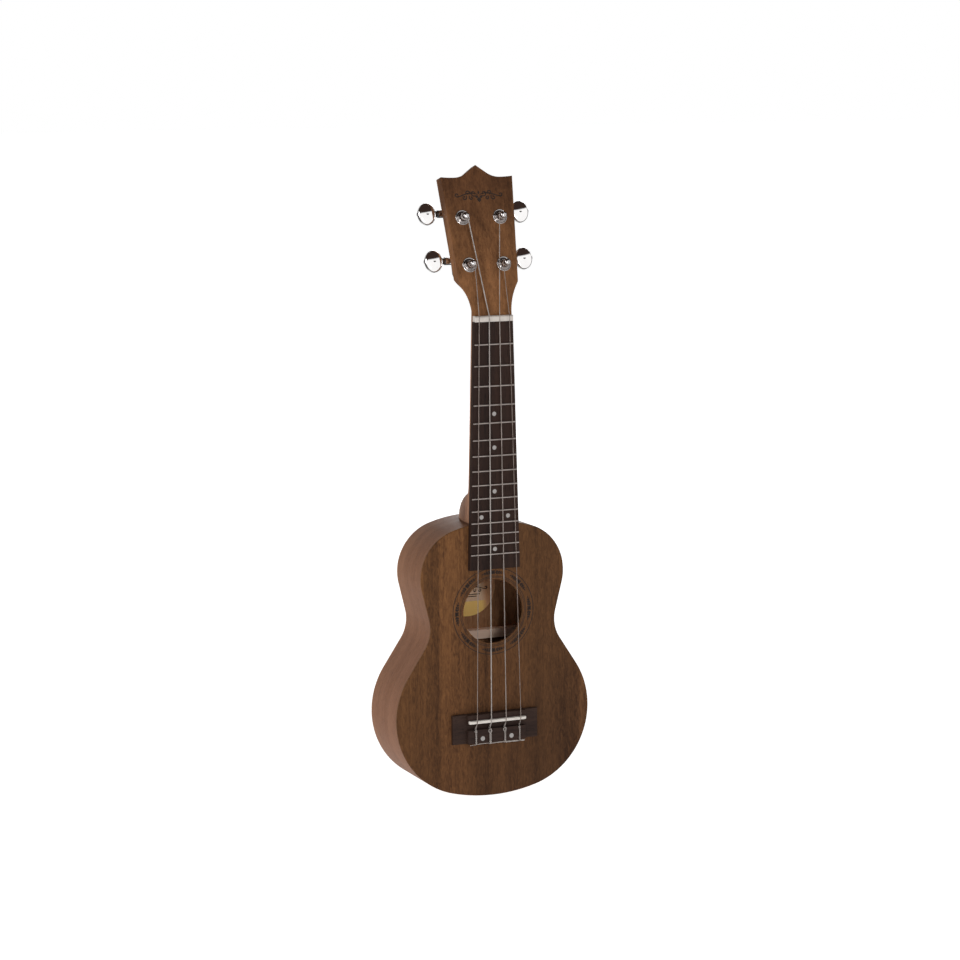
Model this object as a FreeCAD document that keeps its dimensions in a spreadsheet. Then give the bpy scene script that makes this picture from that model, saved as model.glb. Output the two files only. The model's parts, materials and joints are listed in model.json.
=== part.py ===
import FreeCAD, Part

import math
import os

from FreeCAD import Matrix, Placement, Rotation, Vector

# Soprano ukulele with four sealed geared tuners. Millimetres.
# +Z runs up the neck, the soundboard faces -Y and X is across the body, with the fourth
# string on the -X side. The tail end of the body stands on Z = 0.

DIMENSIONS = {
    # Places in the frame
    "front_plane": -25.8,  # Y of the soundboard's outer face
    "nut_height": 411.0,  # Z of the nut's inner edge
    # Body outline, a chain of tangent arcs
    "body_length": 239.5,
    "lower_half": 90.0,
    "lower_height": 71.8,
    "lower_radius": 69.0,
    "waist_half": 58.0,
    "waist_height": 150.5,
    "waist_radius": 31.0,
    "upper_half": 66.6,
    "upper_height": 193.2,
    "upper_radius": 42.5,
    # Body shell
    "depth_tail": 62.5,
    "depth_neck": 53.3,
    "plate_thick": 2.0,
    "side_thick": 1.8,
    "edge_round": 0.7,
    "lining_wide": 4.5,
    "lining_tall": 6.0,
    "hole_radius": 27.8,
    "hole_height": 161.7,
    "label_radius": 25.5,
    "label_height": 173.0,
    "label_thick": 0.2,
    # Braces and blocks
    "brace_wide": 8.0,
    "brace_tall": 7.0,
    "fan_wide": 5.0,
    "fan_tall": 5.0,
    "fan_long": 32.0,
    "fan_tail_long": 25.0,
    "fan_gap": 2.0,
    "fan_spread": 24.0,
    "scallop_share": 0.22,
    "brace_end_share": 0.3,
    "brace_gap": 1.5,
    "bridge_plate_wide": 66.0,
    "bridge_plate_long": 34.0,
    "bridge_plate_drop": 4.2,
    "neck_block_wide": 46.0,
    "neck_block_thick": 17.0,
    "tail_block_thick": 12.0,
    "dowel_radius": 4.0,
    "dowel_long": 24.0,
    # Fretboard and frets
    "scale_length": 343.0,
    "nut_width": 35.8,
    "twelfth_width": 44.6,
    "board_thick": 4.45,
    "board_long": 211.8,
    "fret_count": 15.0,
    "fret_wide": 1.5,
    "fret_tall": 0.8,
    "tang_thick": 0.6,
    "tang_deep": 1.8,
    "fret_inset": 0.5,
    "dot_radius": 1.85,
    "dot_thick": 1.0,
    "dot_pair_offset": 12.3,
    # Nut and saddle
    "nut_thick": 5.0,
    "nut_proud": 1.5,
    "nut_slot_deep": 0.6,
    "nut_round": 1.6,
    "nut_inset": 0.5,
    "nut_slot_play": 0.05,
    "saddle_long": 53.4,
    "saddle_thick": 2.6,
    "saddle_top": 9.7,
    "saddle_round": 1.5,
    "saddle_floor": 2.6,
    "saddle_offset": 343.2,
    # Bridge
    "bridge_half": 39.8,
    "bridge_low": 48.5,
    "bridge_long": 25.6,
    "wing_tall": 3.2,
    "block_half": 27.0,
    "block_tall": 7.0,
    "channel_low": 60.7,
    "channel_wide": 4.9,
    "channel_floor": 3.2,
    "tie_hole_lift": 4.6,
    "bolt_offset": 13.5,
    "bolt_height": 52.7,
    "bolt_radius": 1.5,
    "bolt_head_radius": 2.0,
    "bolt_head_thick": 1.6,
    "pearl_thick": 0.9,
    "bolt_nut_radius": 3.2,
    "bolt_nut_thick": 2.4,
    "bolt_end": 0.6,
    "string_play": 0.1,
    # Neck
    "neck_depth_nut": 12.5,
    "neck_depth_heel": 14.5,
    "heel_long": 26.0,
    "heel_deep": 52.0,
    "heel_fillet": 8.0,
    # Headstock
    "head_tilt": 15.5,
    "head_step": 2.0,
    "head_thick": 10.0,
    "head_tip": 129.9,
    "head_corner_half": 33.0,
    "head_corner": 119.9,
    "head_shoulder_half": 27.2,
    "head_shoulder": 30.0,
    "head_throat_half": 17.6,
    "head_throat_radius": 53.0,
    "head_round": 6.0,
    "crown_slope": 36.0,
    "crown_flank": 11.6,
    "scoop_radius": 20.0,
    "fade_height": 434.0,
    # Tuners
    "upper_post_half": 17.25,
    "upper_post_reach": 84.7,
    "lower_post_half": 15.8,
    "lower_post_reach": 43.9,
    "post_radius": 3.0,
    "post_tall": 10.0,
    "post_waist": 2.2,
    "post_lip_inset": 0.2,
    "post_foot": 0.9,
    "post_land": 0.3,
    "post_shoulder": 0.4,
    "post_waist_drop": 0.6,
    "post_cap_tall": 2.1,
    "post_cap_round": 1.8,
    "running_gap": 0.05,
    "ferrule_radius": 4.2,
    "flange_radius": 6.4,
    "flange_tall": 2.0,
    "flange_edge": 0.5,
    "flange_bulge": 0.15,
    "sleeve_gap": 0.1,
    "gear_teeth": 14.0,
    "gear_radius": 5.0,
    "gear_wide": 3.2,
    "tooth_addendum": 0.62,
    "tooth_dedendum": 0.85,
    "tooth_root_share": 0.27,
    "tooth_tip_share": 0.1,
    "journal_step": 0.5,
    "worm_radius": 2.2,
    "worm_long": 8.0,
    "worm_depth": 16.0,
    "worm_end_gap": 0.5,
    "worm_run_out": 1.0,
    "thread_sink": 0.5,
    "shaft_radius": 1.7,
    "shaft_step": 0.3,
    "housing_half": 8.2,
    "housing_low": 7.2,
    "housing_high": 11.6,
    "housing_deep": 9.6,
    "housing_wall": 1.1,
    "housing_corner": 4.0,
    "blind_wall": 0.4,
    "cover_thick": 1.0,
    "cover_round": 0.7,
    "boss_radius": 3.4,
    "boss_reach": 15.6,
    "collar_radius": 2.7,
    "collar_gap": 0.2,
    "knob_centre": 25.8,
    "knob_axial": 15.8,
    "knob_span": 18.8,
    "knob_thick": 6.4,
    "knob_dome": 60.0,
    "knob_round": 2.0,
    "ear_reach": 10.6,
    "ear_radius": 2.9,
    "ear_thick": 2.0,
    "screw_radius": 1.1,
    "screw_long": 8.0,
    "screw_head_radius": 2.1,
    "screw_head_thick": 1.3,
    "shaft_reach": 30.0,
    "stud_radius": 0.8,
    "stud_reach": 26.0,
    "stud_head_radius": 1.5,
    "stud_head_sink": 0.5,
    "stud_head_proud": 0.4,
    # Strings
    "fourth_gauge": 0.71,
    "third_gauge": 0.97,
    "second_gauge": 0.81,
    "first_gauge": 0.61,
    "winding_turns": 3.0,
    "winding_height": 5.2,
    "winding_gap": 0.2,
    "winding_stop": 0.15,
    "post_hole_radius": 0.75,
    "post_hole_height": 7.2,
    "string_bend": 3.0,
    "string_tail": 0.8,
    "string_exit": 0.2,
    "saddle_lift": 0.25,
    "saddle_break": 0.9,
    "nut_break": 0.3,
}

# X of each string at the nut and at the saddle, from the fourth string to the first
STRINGS = {
    "string_g": ("fourth_gauge", -13.8, -20.0),
    "string_c": ("third_gauge", -4.6, -6.8),
    "string_e": ("second_gauge", 5.0, 7.1),
    "string_a": ("first_gauge", 14.1, 21.0),
}

# Each tuner: which edge of the headstock it is on, which pair it belongs to, its string and
# the side of the post, along X, on which the string arrives
TUNERS = {
    1: (-1, "lower", "string_g", 1),
    2: (-1, "upper", "string_c", 1),
    3: (1, "upper", "string_e", -1),
    4: (1, "lower", "string_a", -1),
}

OUTLINE_SAMPLES = 200
MARKED_FRETS = {5: 1, 7: 1, 10: 1, 12: 2, 15: 1}
BACK_BRACE_HEIGHTS = (62.0, 132.0, 206.0)
TOP_BRACE_HEIGHTS = (122.5, 198.0)
WORM_UP = "dims.gear_radius + dims.worm_radius"
KNOB_INNER = "dims.knob_centre - dims.knob_axial / 2"
KNOB_OUTER = "dims.knob_centre + dims.knob_axial / 2"
STUD_SEAT = f"{KNOB_OUTER} - dims.stud_head_sink"
# Directions, in degrees, at which the heel's convex and hollow curves have a section
HEEL_ANGLES = (0, 14, 28, 42, 54, 63)
HOLLOW_ANGLES = (72, 54, 36, 18, 0)
TURN_GAP = 0.02  # between neighbouring turns of a string on its post
HEEL_SINK = 0.1  # how far the hollow's end lies inside the neck's back
# Height above the nut's outer edge, half width and depth of the space round the throat
THROAT_SECTIONS = (
    (-8.0, 17.9, 15.6),
    (0.0, 17.8, 14.9),
    (11.6, 19.6, 12.0),
    (19.3, 22.6, 12.2),
    (25.0, 27.0, 14.0),
    (29.9, 38.0, 18.0),
    (34.7, 60.0, 28.0),
)
FAR = 400.0  # reaches past every face of the instrument
PAST = 20.0  # how far a cutting tool overshoots the piece it cuts
OVER = 1.0  # how far it overshoots a small recess
OVERLAP = 2.0  # how far a cast lug runs into its housing
TOUCH = 0.01  # faces this close together count as one
NEAR = 0.05  # the same, for a sloping face
SHORT_EDGE = 1.0  # shorter edges stay sharp
LONG_EDGE = 5.0  # an outer edge of the bridge is longer
DOWEL_SHARES = (0.3, 0.66)  # places of the dowels through the body's depth
DOWEL_SINK = 0.55  # share of a dowel that lies inside the body
BEND_SHARE = 0.45  # largest share of a straight run that a bend in a string may use

doc = FreeCAD.newDocument("ukulele")
nodes = {}


# ---------------------------------------------------------------- shared helpers


def make_sheet():
    """Fill the spreadsheet, one named driving dimension to a row."""
    table = doc.addObject("Spreadsheet::Sheet", "dims")
    for row, (name, size) in enumerate(DIMENSIONS.items(), start=1):
        table.set(f"A{row}", name)
        table.set(f"B{row}", str(size))
        table.setAlias(f"B{row}", name)
    doc.recompute()
    return table


sheet = make_sheet()


def dim(name):
    """The current value of a driving dimension."""
    return float(sheet.get(name))


def bind(item, **expressions):
    """Tie properties of an object to the sheet. A double underscore stands for a dot."""
    for key, text in expressions.items():
        item.setExpression(key.replace("__", "."), text)
    return item


def node(label, item):
    """Register a document object as the named sub-part."""
    item.Label = label
    nodes[label] = item
    return item


def shape_node(label, shape, placement=None):
    """A sub-part made directly from a shape, whose sizes come from the sheet."""
    item = doc.addObject("Part::Feature", label)
    item.Shape = shape
    if placement is not None:
        item.Placement = placement
    return node(label, item)


def box(name, low, size):
    """A block from its low corner and size, both given as expressions."""
    item = doc.addObject("Part::Box", name)
    bind(item, Length=size[0], Width=size[1], Height=size[2])
    return bind(item, Placement__Base__x=low[0], Placement__Base__y=low[1], Placement__Base__z=low[2])


def cylinder(name, radius, length, start, axis):
    """A round bar from its start point along an axis, with expressions for the sizes."""
    item = doc.addObject("Part::Cylinder", name)
    item.Placement = Placement(Vector(), Rotation(Vector(0, 0, 1), axis))
    bind(item, Radius=radius, Height=length)
    return bind(item, Placement__Base__x=start[0], Placement__Base__y=start[1], Placement__Base__z=start[2])


def cut(name, base, tools):
    """The base with each tool taken away."""
    for index, tool in enumerate(tools):
        item = doc.addObject("Part::Cut", f"{name}_cut_{index}")
        item.Base = base
        item.Tool = tool
        base = item
    return base


def common(name, base, tool):
    item = doc.addObject("Part::Common", name)
    item.Base = base
    item.Tool = tool
    return item


def joined(name, shapes):
    item = doc.addObject("Part::MultiFuse", name)
    item.Shapes = shapes
    return item


def group(label, items):
    """Identical separate solids that share one node."""
    item = doc.addObject("Part::Compound", label)
    item.Links = items
    return node(label, item)


def origin_plane(body, role):
    return next(plane for plane in body.Origin.OriginFeatures if plane.Role == role)


def sketched_body(name, role, edges, offset=None):
    """A body with one sketch on an origin plane, shifted along the plane's normal by an expression."""
    body = doc.addObject("PartDesign::Body", name)
    sketch = body.newObject("Sketcher::SketchObject", f"{name}_sketch")
    sketch.AttachmentSupport = (origin_plane(body, role), [""])
    sketch.MapMode = "FlatFace"
    if offset is not None:
        sketch.setExpression("AttachmentOffset.Base.z", offset)
    for edge in edges:
        sketch.addGeometry(edge, False)
    return body, sketch


def padded(name, role, edges, length, offset=None, backwards=False):
    """A body padded from one sketch by a length expression."""
    body, sketch = sketched_body(name, role, edges, offset)
    pad = body.newObject("PartDesign::Pad", f"{name}_pad")
    pad.Profile = sketch
    pad.Reversed = backwards
    pad.setExpression("Length", length)
    return body


def revolved(name, edges):
    """A turned body from the closed edges of its half section, about the sketch's vertical axis."""
    body, sketch = sketched_body(name, "XZ_Plane", edges)
    turn = body.newObject("PartDesign::Revolution", f"{name}_turn")
    turn.Profile = sketch
    turn.ReferenceAxis = (sketch, ["V_Axis"])
    turn.Angle = 360.0
    return body


def flat(point):
    return Vector(point[0], point[1], 0)


def line(start, end):
    return Part.LineSegment(flat(start), flat(end))


def arc(start, middle, end):
    return Part.Arc(flat(start), flat(middle), flat(end))


def closed_lines(points):
    """Straight edges round a closed polygon."""
    return [line(points[i - 1], points[i]) for i in range(len(points))]


def polar(centre, radius, angle):
    return (centre[0] + radius * math.cos(angle), centre[1] + radius * math.sin(angle))


def arc_about(centre, radius, start, end):
    """The shorter arc round a centre between the directions of two points."""
    first = math.atan2(start[1] - centre[1], start[0] - centre[0])
    turn = math.atan2(end[1] - centre[1], end[0] - centre[0]) - first
    turn = math.remainder(turn, 2 * math.pi)
    return arc(start, polar(centre, radius, first + turn / 2), end)


def fillet_where(name, base, radius, wanted):
    """Round the edges of the base that the test picks out."""
    doc.recompute()
    item = doc.addObject("Part::Fillet", name)
    item.Base = base
    size = dim(radius)
    picked = [(i, size, size) for i, edge in enumerate(base.Shape.Edges, start=1) if wanted(edge)]
    item.Edges = picked
    return item


# ---------------------------------------------------------------- body outline


def tangent_direction(first, second, first_radius, second_radius, side):
    """Unit normal of the straight line that touches two circles on opposite sides of it."""
    across = (second[0] - first[0], second[1] - first[1])
    apart = math.hypot(*across)
    angle = math.atan2(across[1], across[0]) + side * math.acos((first_radius + second_radius) / apart)
    return math.cos(angle), math.sin(angle)


def outline_half(inset, hand):
    """The points and edges of one side of the body, from the tail's middle to the neck's middle."""
    lower_r = dim("lower_radius")
    waist_r = dim("waist_radius")
    upper_r = dim("upper_radius")
    length = dim("body_length")
    lower = (dim("lower_half") - lower_r, dim("lower_height"))
    waist = (dim("waist_half") + waist_r, dim("waist_height"))
    upper = (dim("upper_half") - upper_r, dim("upper_height"))
    tail_r = (lower[0] ** 2 + lower[1] ** 2 - lower_r**2) / (2 * (lower[1] - lower_r))
    rise = length - upper[1]
    top_r = (upper[0] ** 2 + rise**2 - upper_r**2) / (2 * (rise - upper_r))
    tail = (0.0, tail_r)
    top = (0.0, length - top_r)
    low_normal = tangent_direction(lower, waist, lower_r, waist_r, -1)
    high_normal = tangent_direction(upper, waist, upper_r, waist_r, 1)

    def along(centre, direction, radius):
        return (centre[0] + direction[0] * radius, centre[1] + direction[1] * radius)

    def away(origin, target):
        gap = math.dist(origin, target)
        return ((target[0] - origin[0]) / gap, (target[1] - origin[1]) / gap)

    # An inset shrinks the outward arcs and swells the waist arc about the same centres
    joints = [
        (0.0, inset),
        along(lower, away(tail, lower), lower_r - inset),
        along(lower, low_normal, lower_r - inset),
        along(waist, low_normal, -(waist_r + inset)),
        along(waist, high_normal, -(waist_r + inset)),
        along(upper, high_normal, upper_r - inset),
        along(upper, away(top, upper), upper_r - inset),
        (0.0, length - inset),
    ]
    centres = [tail, lower, None, waist, None, upper, top]
    radii = [tail_r - inset, lower_r - inset, None, waist_r + inset, None, upper_r - inset, top_r - inset]

    def mirrored(point):
        return (hand * point[0], point[1])

    edges = []
    for i, centre in enumerate(centres):
        start = mirrored(joints[i])
        end = mirrored(joints[i + 1])
        if centre is None:
            edges.append(line(start, end))
        else:
            edges.append(arc_about(mirrored(centre), radii[i], start, end))
    return edges, mirrored(joints[0]), mirrored(joints[-1])


def outline(inset=0.0):
    """The whole closed outline of the body."""
    return outline_half(inset, 1)[0] + outline_half(inset, -1)[0]


def half_band(outer, inner, hand):
    """One side's strip between two insets, closed on the centre line."""
    far_edges, far_low, far_high = outline_half(outer, hand)
    near_edges, near_low, near_high = outline_half(inner, hand)
    return far_edges + near_edges + [line(far_low, near_low), line(far_high, near_high)]


def back_slope():
    """Angle by which the back plate leans, as the body gets shallower towards the neck."""
    return math.degrees(math.atan((dim("depth_tail") - dim("depth_neck")) / dim("body_length")))


def behind(name, setback):
    """A large block whose front face lies a distance inside the back plate's outer face."""
    item = doc.addObject("Part::Box", name)
    item.Length = FAR
    item.Width = FAR
    item.Height = FAR
    lean = Rotation(Vector(1, 0, 0), back_slope())
    item.Placement = Placement(Vector(), lean)
    run = lean.multVec(Vector(0, 0, 1))
    reach = dim("front_plane") + dim("depth_tail") - setback - FAR / 4 * run.y / run.z
    item.Placement.Base = Vector(-FAR / 2, reach, -FAR / 4)
    return item


def back_depth(height, inside=0.0):
    """Y of a plane parallel to the back at a height, a distance inside the outer face."""
    fall = (dim("depth_tail") - dim("depth_neck")) * height / dim("body_length")
    return dim("front_plane") + dim("depth_tail") - fall - inside


# ---------------------------------------------------------------- body


def make_plates():
    blank = padded("soundboard_blank", "XZ_Plane", outline(), "dims.plate_thick", "-dims.front_plane", True)
    opening = cylinder(
        "sound_hole",
        "dims.hole_radius",
        "dims.plate_thick * 3",
        ("0", "dims.front_plane - dims.plate_thick", "dims.hole_height"),
        Vector(0, 1, 0),
    )
    bored = cut("soundboard", blank, [opening] + bolt_holes("soundboard"))
    front = dim("front_plane")
    node("soundboard", fillet_where("soundboard", bored, "edge_round", lambda e: on_rim(e, front)))

    thick = padded("back_blank", "XZ_Plane", outline(), "dims.depth_tail", "-dims.front_plane", True)
    slab = common("back_slab", thick, behind("back_inner_space", dim("plate_thick")))
    trimmed = cut("back_plate", slab, [behind("back_outer_space", 0.0)])
    node("back_plate", fillet_where("back_plate", trimmed, "edge_round", on_back_rim))


def on_rim(edge, level):
    """True for an edge that lies in a plane of constant Y, out beyond the sound hole."""
    bounds = edge.BoundBox
    level_edge = abs(bounds.YMin - level) < TOUCH and abs(bounds.YMax - level) < TOUCH
    middle = edge.valueAt((edge.FirstParameter + edge.LastParameter) / 2)
    from_hole = math.hypot(middle.x, middle.z - dim("hole_height"))
    from_bolts = abs(middle.z - dim("bolt_height"))
    return level_edge and from_hole > dim("hole_radius") + SHORT_EDGE and (
        from_bolts > 2 * dim("bolt_radius") or abs(middle.x) > dim("waist_half")
    )


def on_back_rim(edge):
    """True for an edge of the back plate's outer face."""
    middle = edge.valueAt((edge.FirstParameter + edge.LastParameter) / 2)
    on_face = abs(middle.y - back_depth(middle.z)) < NEAR
    return on_face and edge.Length > dim("plate_thick") + SHORT_EDGE


def make_sides():
    inner_space = behind("side_back_space", dim("plate_thick"))
    for label, hand in (("side_bass", -1), ("side_treble", 1)):
        band = half_band(0.0, dim("side_thick"), hand)
        strip = padded(
            f"{label}_strip",
            "XZ_Plane",
            band,
            "dims.depth_tail",
            "-dims.front_plane - dims.plate_thick",
            True,
        )
        node(label, cut(label, strip, [inner_space]))


def make_linings():
    """Strips glued in the corners between the sides and the plates, clear of both blocks."""
    side = dim("side_thick")
    block_gap = box(
        "lining_gap",
        ("-dims.neck_block_wide / 2", f"-{FAR / 2}", f"-{PAST}"),
        ("dims.neck_block_wide", f"{FAR}", f"{FAR}"),
    )
    near_back = behind("lining_back_space", dim("plate_thick"))
    off_back = behind("lining_front_space", dim("plate_thick") + dim("lining_tall"))
    front_strips = []
    back_strips = []
    for name, hand in (("bass", -1), ("treble", 1)):
        band = half_band(side, side + dim("lining_wide"), hand)
        front = padded(
            f"top_lining_{name}",
            "XZ_Plane",
            band,
            "dims.lining_tall",
            "-dims.front_plane - dims.plate_thick",
            True,
        )
        front_strips.append(cut(f"top_lining_{name}", front, [block_gap]))
        back = padded(
            f"back_lining_{name}",
            "XZ_Plane",
            band,
            "dims.depth_tail",
            "-dims.front_plane - dims.plate_thick",
            True,
        )
        kept = common(f"back_lining_{name}_zone", back, off_back)
        back_strips.append(cut(f"back_lining_{name}", kept, [near_back, block_gap]))
    group("top_linings", front_strips)
    group("back_linings", back_strips)


def half_width_inside(height, wide):
    """Half the clear width between the linings, all along a bar of this width at a height."""
    inset = dim("side_thick") + dim("lining_wide")
    reach = dim("lower_half")
    for edge in outline_half(inset, 1)[0]:
        for point in edge.toShape().discretize(OUTLINE_SAMPLES):
            if abs(point.y - height) < wide / 2 + dim("brace_gap"):
                reach = min(reach, point.x)
    return reach - dim("brace_gap")


def brace(name, height, wide, front, slope):
    """A cross bar with scalloped ends, glued on one plate. Front braces rise away from -Y."""
    half = half_width_inside(height, dim(wide))
    tall = dim("brace_tall")
    end = dim("brace_end_share") * tall
    run = dim("scallop_share") * half
    points = [(-half, 0.0), (half, 0.0), (half, end), (half - run, tall), (-half + run, tall), (-half, end)]
    body = doc.addObject("PartDesign::Body", name)
    sketch = body.newObject("Sketcher::SketchObject", f"{name}_sketch")
    sketch.AttachmentSupport = (origin_plane(body, "XY_Plane"), [""])
    sketch.MapMode = "FlatFace"
    for edge in closed_lines(points):
        sketch.addGeometry(edge, False)
    pad = body.newObject("PartDesign::Pad", f"{name}_pad")
    pad.Profile = sketch
    pad.Midplane = True
    pad.setExpression("Length", f"dims.{wide}")
    lean = Rotation(Vector(1, 0, 0), slope)
    if not front:
        lean = lean.multiply(Rotation(Vector(0, 0, 1), 180))
    level = dim("front_plane") + dim("plate_thick") if front else back_depth(height, dim("plate_thick"))
    body.Placement = Placement(Vector(0, level, height), lean)
    return body


def make_braces():
    backs = []
    for i, height in enumerate(BACK_BRACE_HEIGHTS):
        backs.append(brace(f"back_brace_{i}", height, "brace_wide", False, back_slope()))
    group("back_braces", backs)

    fronts = []
    for i, height in enumerate(TOP_BRACE_HEIGHTS):
        fronts.append(brace(f"top_brace_{i}", height, "fan_wide", True, 0.0))
    level = "dims.front_plane + dims.plate_thick"
    plate_low = "dims.bridge_low - dims.bridge_plate_drop"
    upper_low = f"{plate_low} + dims.bridge_plate_long + dims.fan_gap"
    lower_low = f"{plate_low} - dims.fan_gap - dims.fan_tail_long"
    for i, side in enumerate((-1, 0, 1)):
        across = f"{side} * dims.fan_spread - dims.fan_wide / 2"
        spans = ((upper_low, "dims.fan_long"), (lower_low, "dims.fan_tail_long"))
        for j, (low, long) in enumerate(spans):
            size = ("dims.fan_wide", "dims.fan_tall", long)
            fronts.append(box(f"fan_brace_{i}_{j}", (across, level, low), size))
    group("top_braces", fronts)

    plate = box(
        "bridge_plate_blank",
        ("-dims.bridge_plate_wide / 2", level, plate_low),
        ("dims.bridge_plate_wide", "dims.plate_thick", "dims.bridge_plate_long"),
    )
    node("bridge_plate", cut("bridge_plate", plate, bolt_holes("bridge_plate")))


def make_blocks():
    """Solid blocks inside the body that carry the neck and close the tail."""
    inner = dim("side_thick")
    room = padded(
        "block_room",
        "XZ_Plane",
        outline(inner),
        "dims.depth_tail",
        "-dims.front_plane - dims.plate_thick",
        True,
    )
    inside = cut("block_room", room, [behind("block_back_space", dim("plate_thick"))])
    neck_zone = box(
        "neck_block_zone",
        (
            "-dims.neck_block_wide / 2",
            f"-{FAR / 2}",
            "dims.body_length - dims.side_thick - dims.neck_block_thick",
        ),
        ("dims.neck_block_wide", f"{FAR}", "dims.neck_block_thick * 2"),
    )
    tail_zone = box(
        "tail_block_zone",
        ("-dims.neck_block_wide / 2", f"-{FAR / 2}", f"-{PAST}"),
        ("dims.neck_block_wide", f"{FAR}", f"{PAST} + dims.side_thick + dims.tail_block_thick"),
    )
    neck_block = common("neck_block_zone_part", inside, neck_zone)
    node("neck_block", cut("neck_block", neck_block, dowel_bars("neck_block")))
    node("tail_block", common("tail_block", inside, tail_zone))
    for label in ("side_bass", "side_treble"):
        nodes[label].Label = f"{label}_solid"
        node(label, cut(f"{label}_bored", nodes[label], dowel_bars(label)))


def dowel_bars(owner):
    """Two round bars that cross from the heel into the neck block."""
    bars = []
    low = f"dims.body_length - dims.dowel_long * {DOWEL_SINK}"
    for i, share in enumerate(DOWEL_SHARES):
        start = ("0", f"dims.front_plane + dims.depth_neck * {share}", low)
        name = f"{owner}_dowel_{i}"
        bars.append(cylinder(name, "dims.dowel_radius", "dims.dowel_long", start, Vector(0, 0, 1)))
    return bars


def make_label():
    disc = doc.addObject("Part::Cylinder", "label_disc")
    bind(disc, Radius="dims.label_radius", Height="dims.label_thick")
    lean = Rotation(Vector(1, 0, 0), 90 + back_slope())
    level = back_depth(dim("label_height"), dim("plate_thick"))
    disc.Placement = Placement(Vector(0, level, dim("label_height")), lean)
    node("label", disc)


# ---------------------------------------------------------------- bridge and saddle


def bolt_holes(owner):
    """Two clearance holes through the bridge, the soundboard and the plate under it."""
    holes = []
    for i, side in enumerate((-1, 1)):
        start = (f"{side} * dims.bolt_offset", f"dims.front_plane - {PAST}", "dims.bolt_height")
        holes.append(cylinder(f"{owner}_hole_{i}", "dims.bolt_radius", f"{2 * PAST}", start, Vector(0, 1, 0)))
    return holes


def make_bridge():
    wings = box(
        "bridge_wings",
        ("-dims.bridge_half", "dims.front_plane - dims.wing_tall", "dims.bridge_low"),
        ("dims.bridge_half * 2", "dims.wing_tall", "dims.bridge_long"),
    )
    block = box(
        "bridge_block",
        ("-dims.block_half", "dims.front_plane - dims.block_tall", "dims.bridge_low"),
        ("dims.block_half * 2", "dims.block_tall", "dims.bridge_long"),
    )
    channel = box(
        "bridge_channel",
        (f"-dims.block_half - {OVER}", f"dims.front_plane - dims.block_tall - {OVER}", "dims.channel_low"),
        (
            f"(dims.block_half + {OVER}) * 2",
            f"dims.block_tall + {OVER} - dims.channel_floor",
            "dims.channel_wide",
        ),
    )
    slot = saddle_box("saddle_slot")
    tools = [channel, slot] + bolt_holes("bridge")
    for i, side in enumerate((-1, 1)):
        start = (
            f"{side} * dims.bolt_offset",
            f"dims.front_plane - dims.block_tall - {OVER}",
            "dims.bolt_height",
        )
        deep = f"{OVER} + dims.pearl_thick + dims.bolt_head_thick"
        tools.append(cylinder(f"bolt_well_{i}", "dims.bolt_head_radius", deep, start, Vector(0, 1, 0)))
    for name, (gauge, _, across) in STRINGS.items():
        start = (str(across), "dims.front_plane - dims.tie_hole_lift", f"dims.bridge_low - {OVER}")
        radius = f"dims.{gauge} / 2 + dims.string_play"
        long = f"dims.channel_low - dims.bridge_low + {2 * OVER}"
        tools.append(cylinder(f"tie_hole_{name}", radius, long, start, Vector(0, 0, 1)))
    stock = joined("bridge_stock", [wings, block])
    rounded = fillet_where("bridge_rounded", stock, "edge_round", on_bridge_edge)
    node("bridge", cut("bridge", rounded, tools))


def on_bridge_edge(edge):
    """True for the long outer edges of the bridge's raised faces."""
    bounds = edge.BoundBox
    front = dim("front_plane")
    along_x = bounds.ZLength < TOUCH and bounds.YLength < TOUCH and bounds.XLength > LONG_EDGE
    along_z = bounds.XLength < TOUCH and bounds.YLength < TOUCH and bounds.ZLength > LONG_EDGE
    outer_ends = abs(abs(bounds.Center.x) - dim("bridge_half")) < TOUCH
    block_ends = abs(abs(bounds.Center.x) - dim("block_half")) < TOUCH
    top_face = abs(bounds.YMin - (front - dim("block_tall"))) < TOUCH
    wing_face = abs(bounds.YMin - (front - dim("wing_tall"))) < TOUCH
    middle_z = bounds.Center.z
    low = dim("bridge_low")
    high = low + dim("bridge_long")
    outer_long = abs(middle_z - low) < TOUCH or abs(middle_z - high) < TOUCH
    if along_x and outer_long:
        return top_face or wing_face
    return along_z and (outer_ends and wing_face or block_ends and top_face)


def saddle_box(name):
    """The block that fills the saddle's slot, from its floor up to the saddle's top."""
    return box(
        name,
        (
            "-dims.saddle_long / 2",
            "dims.front_plane - dims.saddle_top",
            "dims.nut_height - dims.saddle_offset - dims.saddle_thick / 2",
        ),
        ("dims.saddle_long", "dims.saddle_top - dims.saddle_floor", "dims.saddle_thick"),
    )


def make_saddle():
    stock = saddle_box("saddle_stock")
    front = dim("front_plane") - dim("saddle_top")
    below = front + 2 * dim("saddle_thick")

    def end_corner(edge):
        bounds = edge.BoundBox
        level = abs(bounds.YMin - front) < TOUCH and abs(bounds.YMax - front) < TOUCH
        return level and bounds.XLength < TOUCH

    rounded = fillet_where("saddle_ends", stock, "saddle_round", end_corner)

    def crown(edge):
        bounds = edge.BoundBox
        return bounds.ZLength < TOUCH and bounds.XLength > SHORT_EDGE and bounds.YMax < below

    node("saddle", fillet_where("saddle", rounded, "edge_round", crown))


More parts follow.
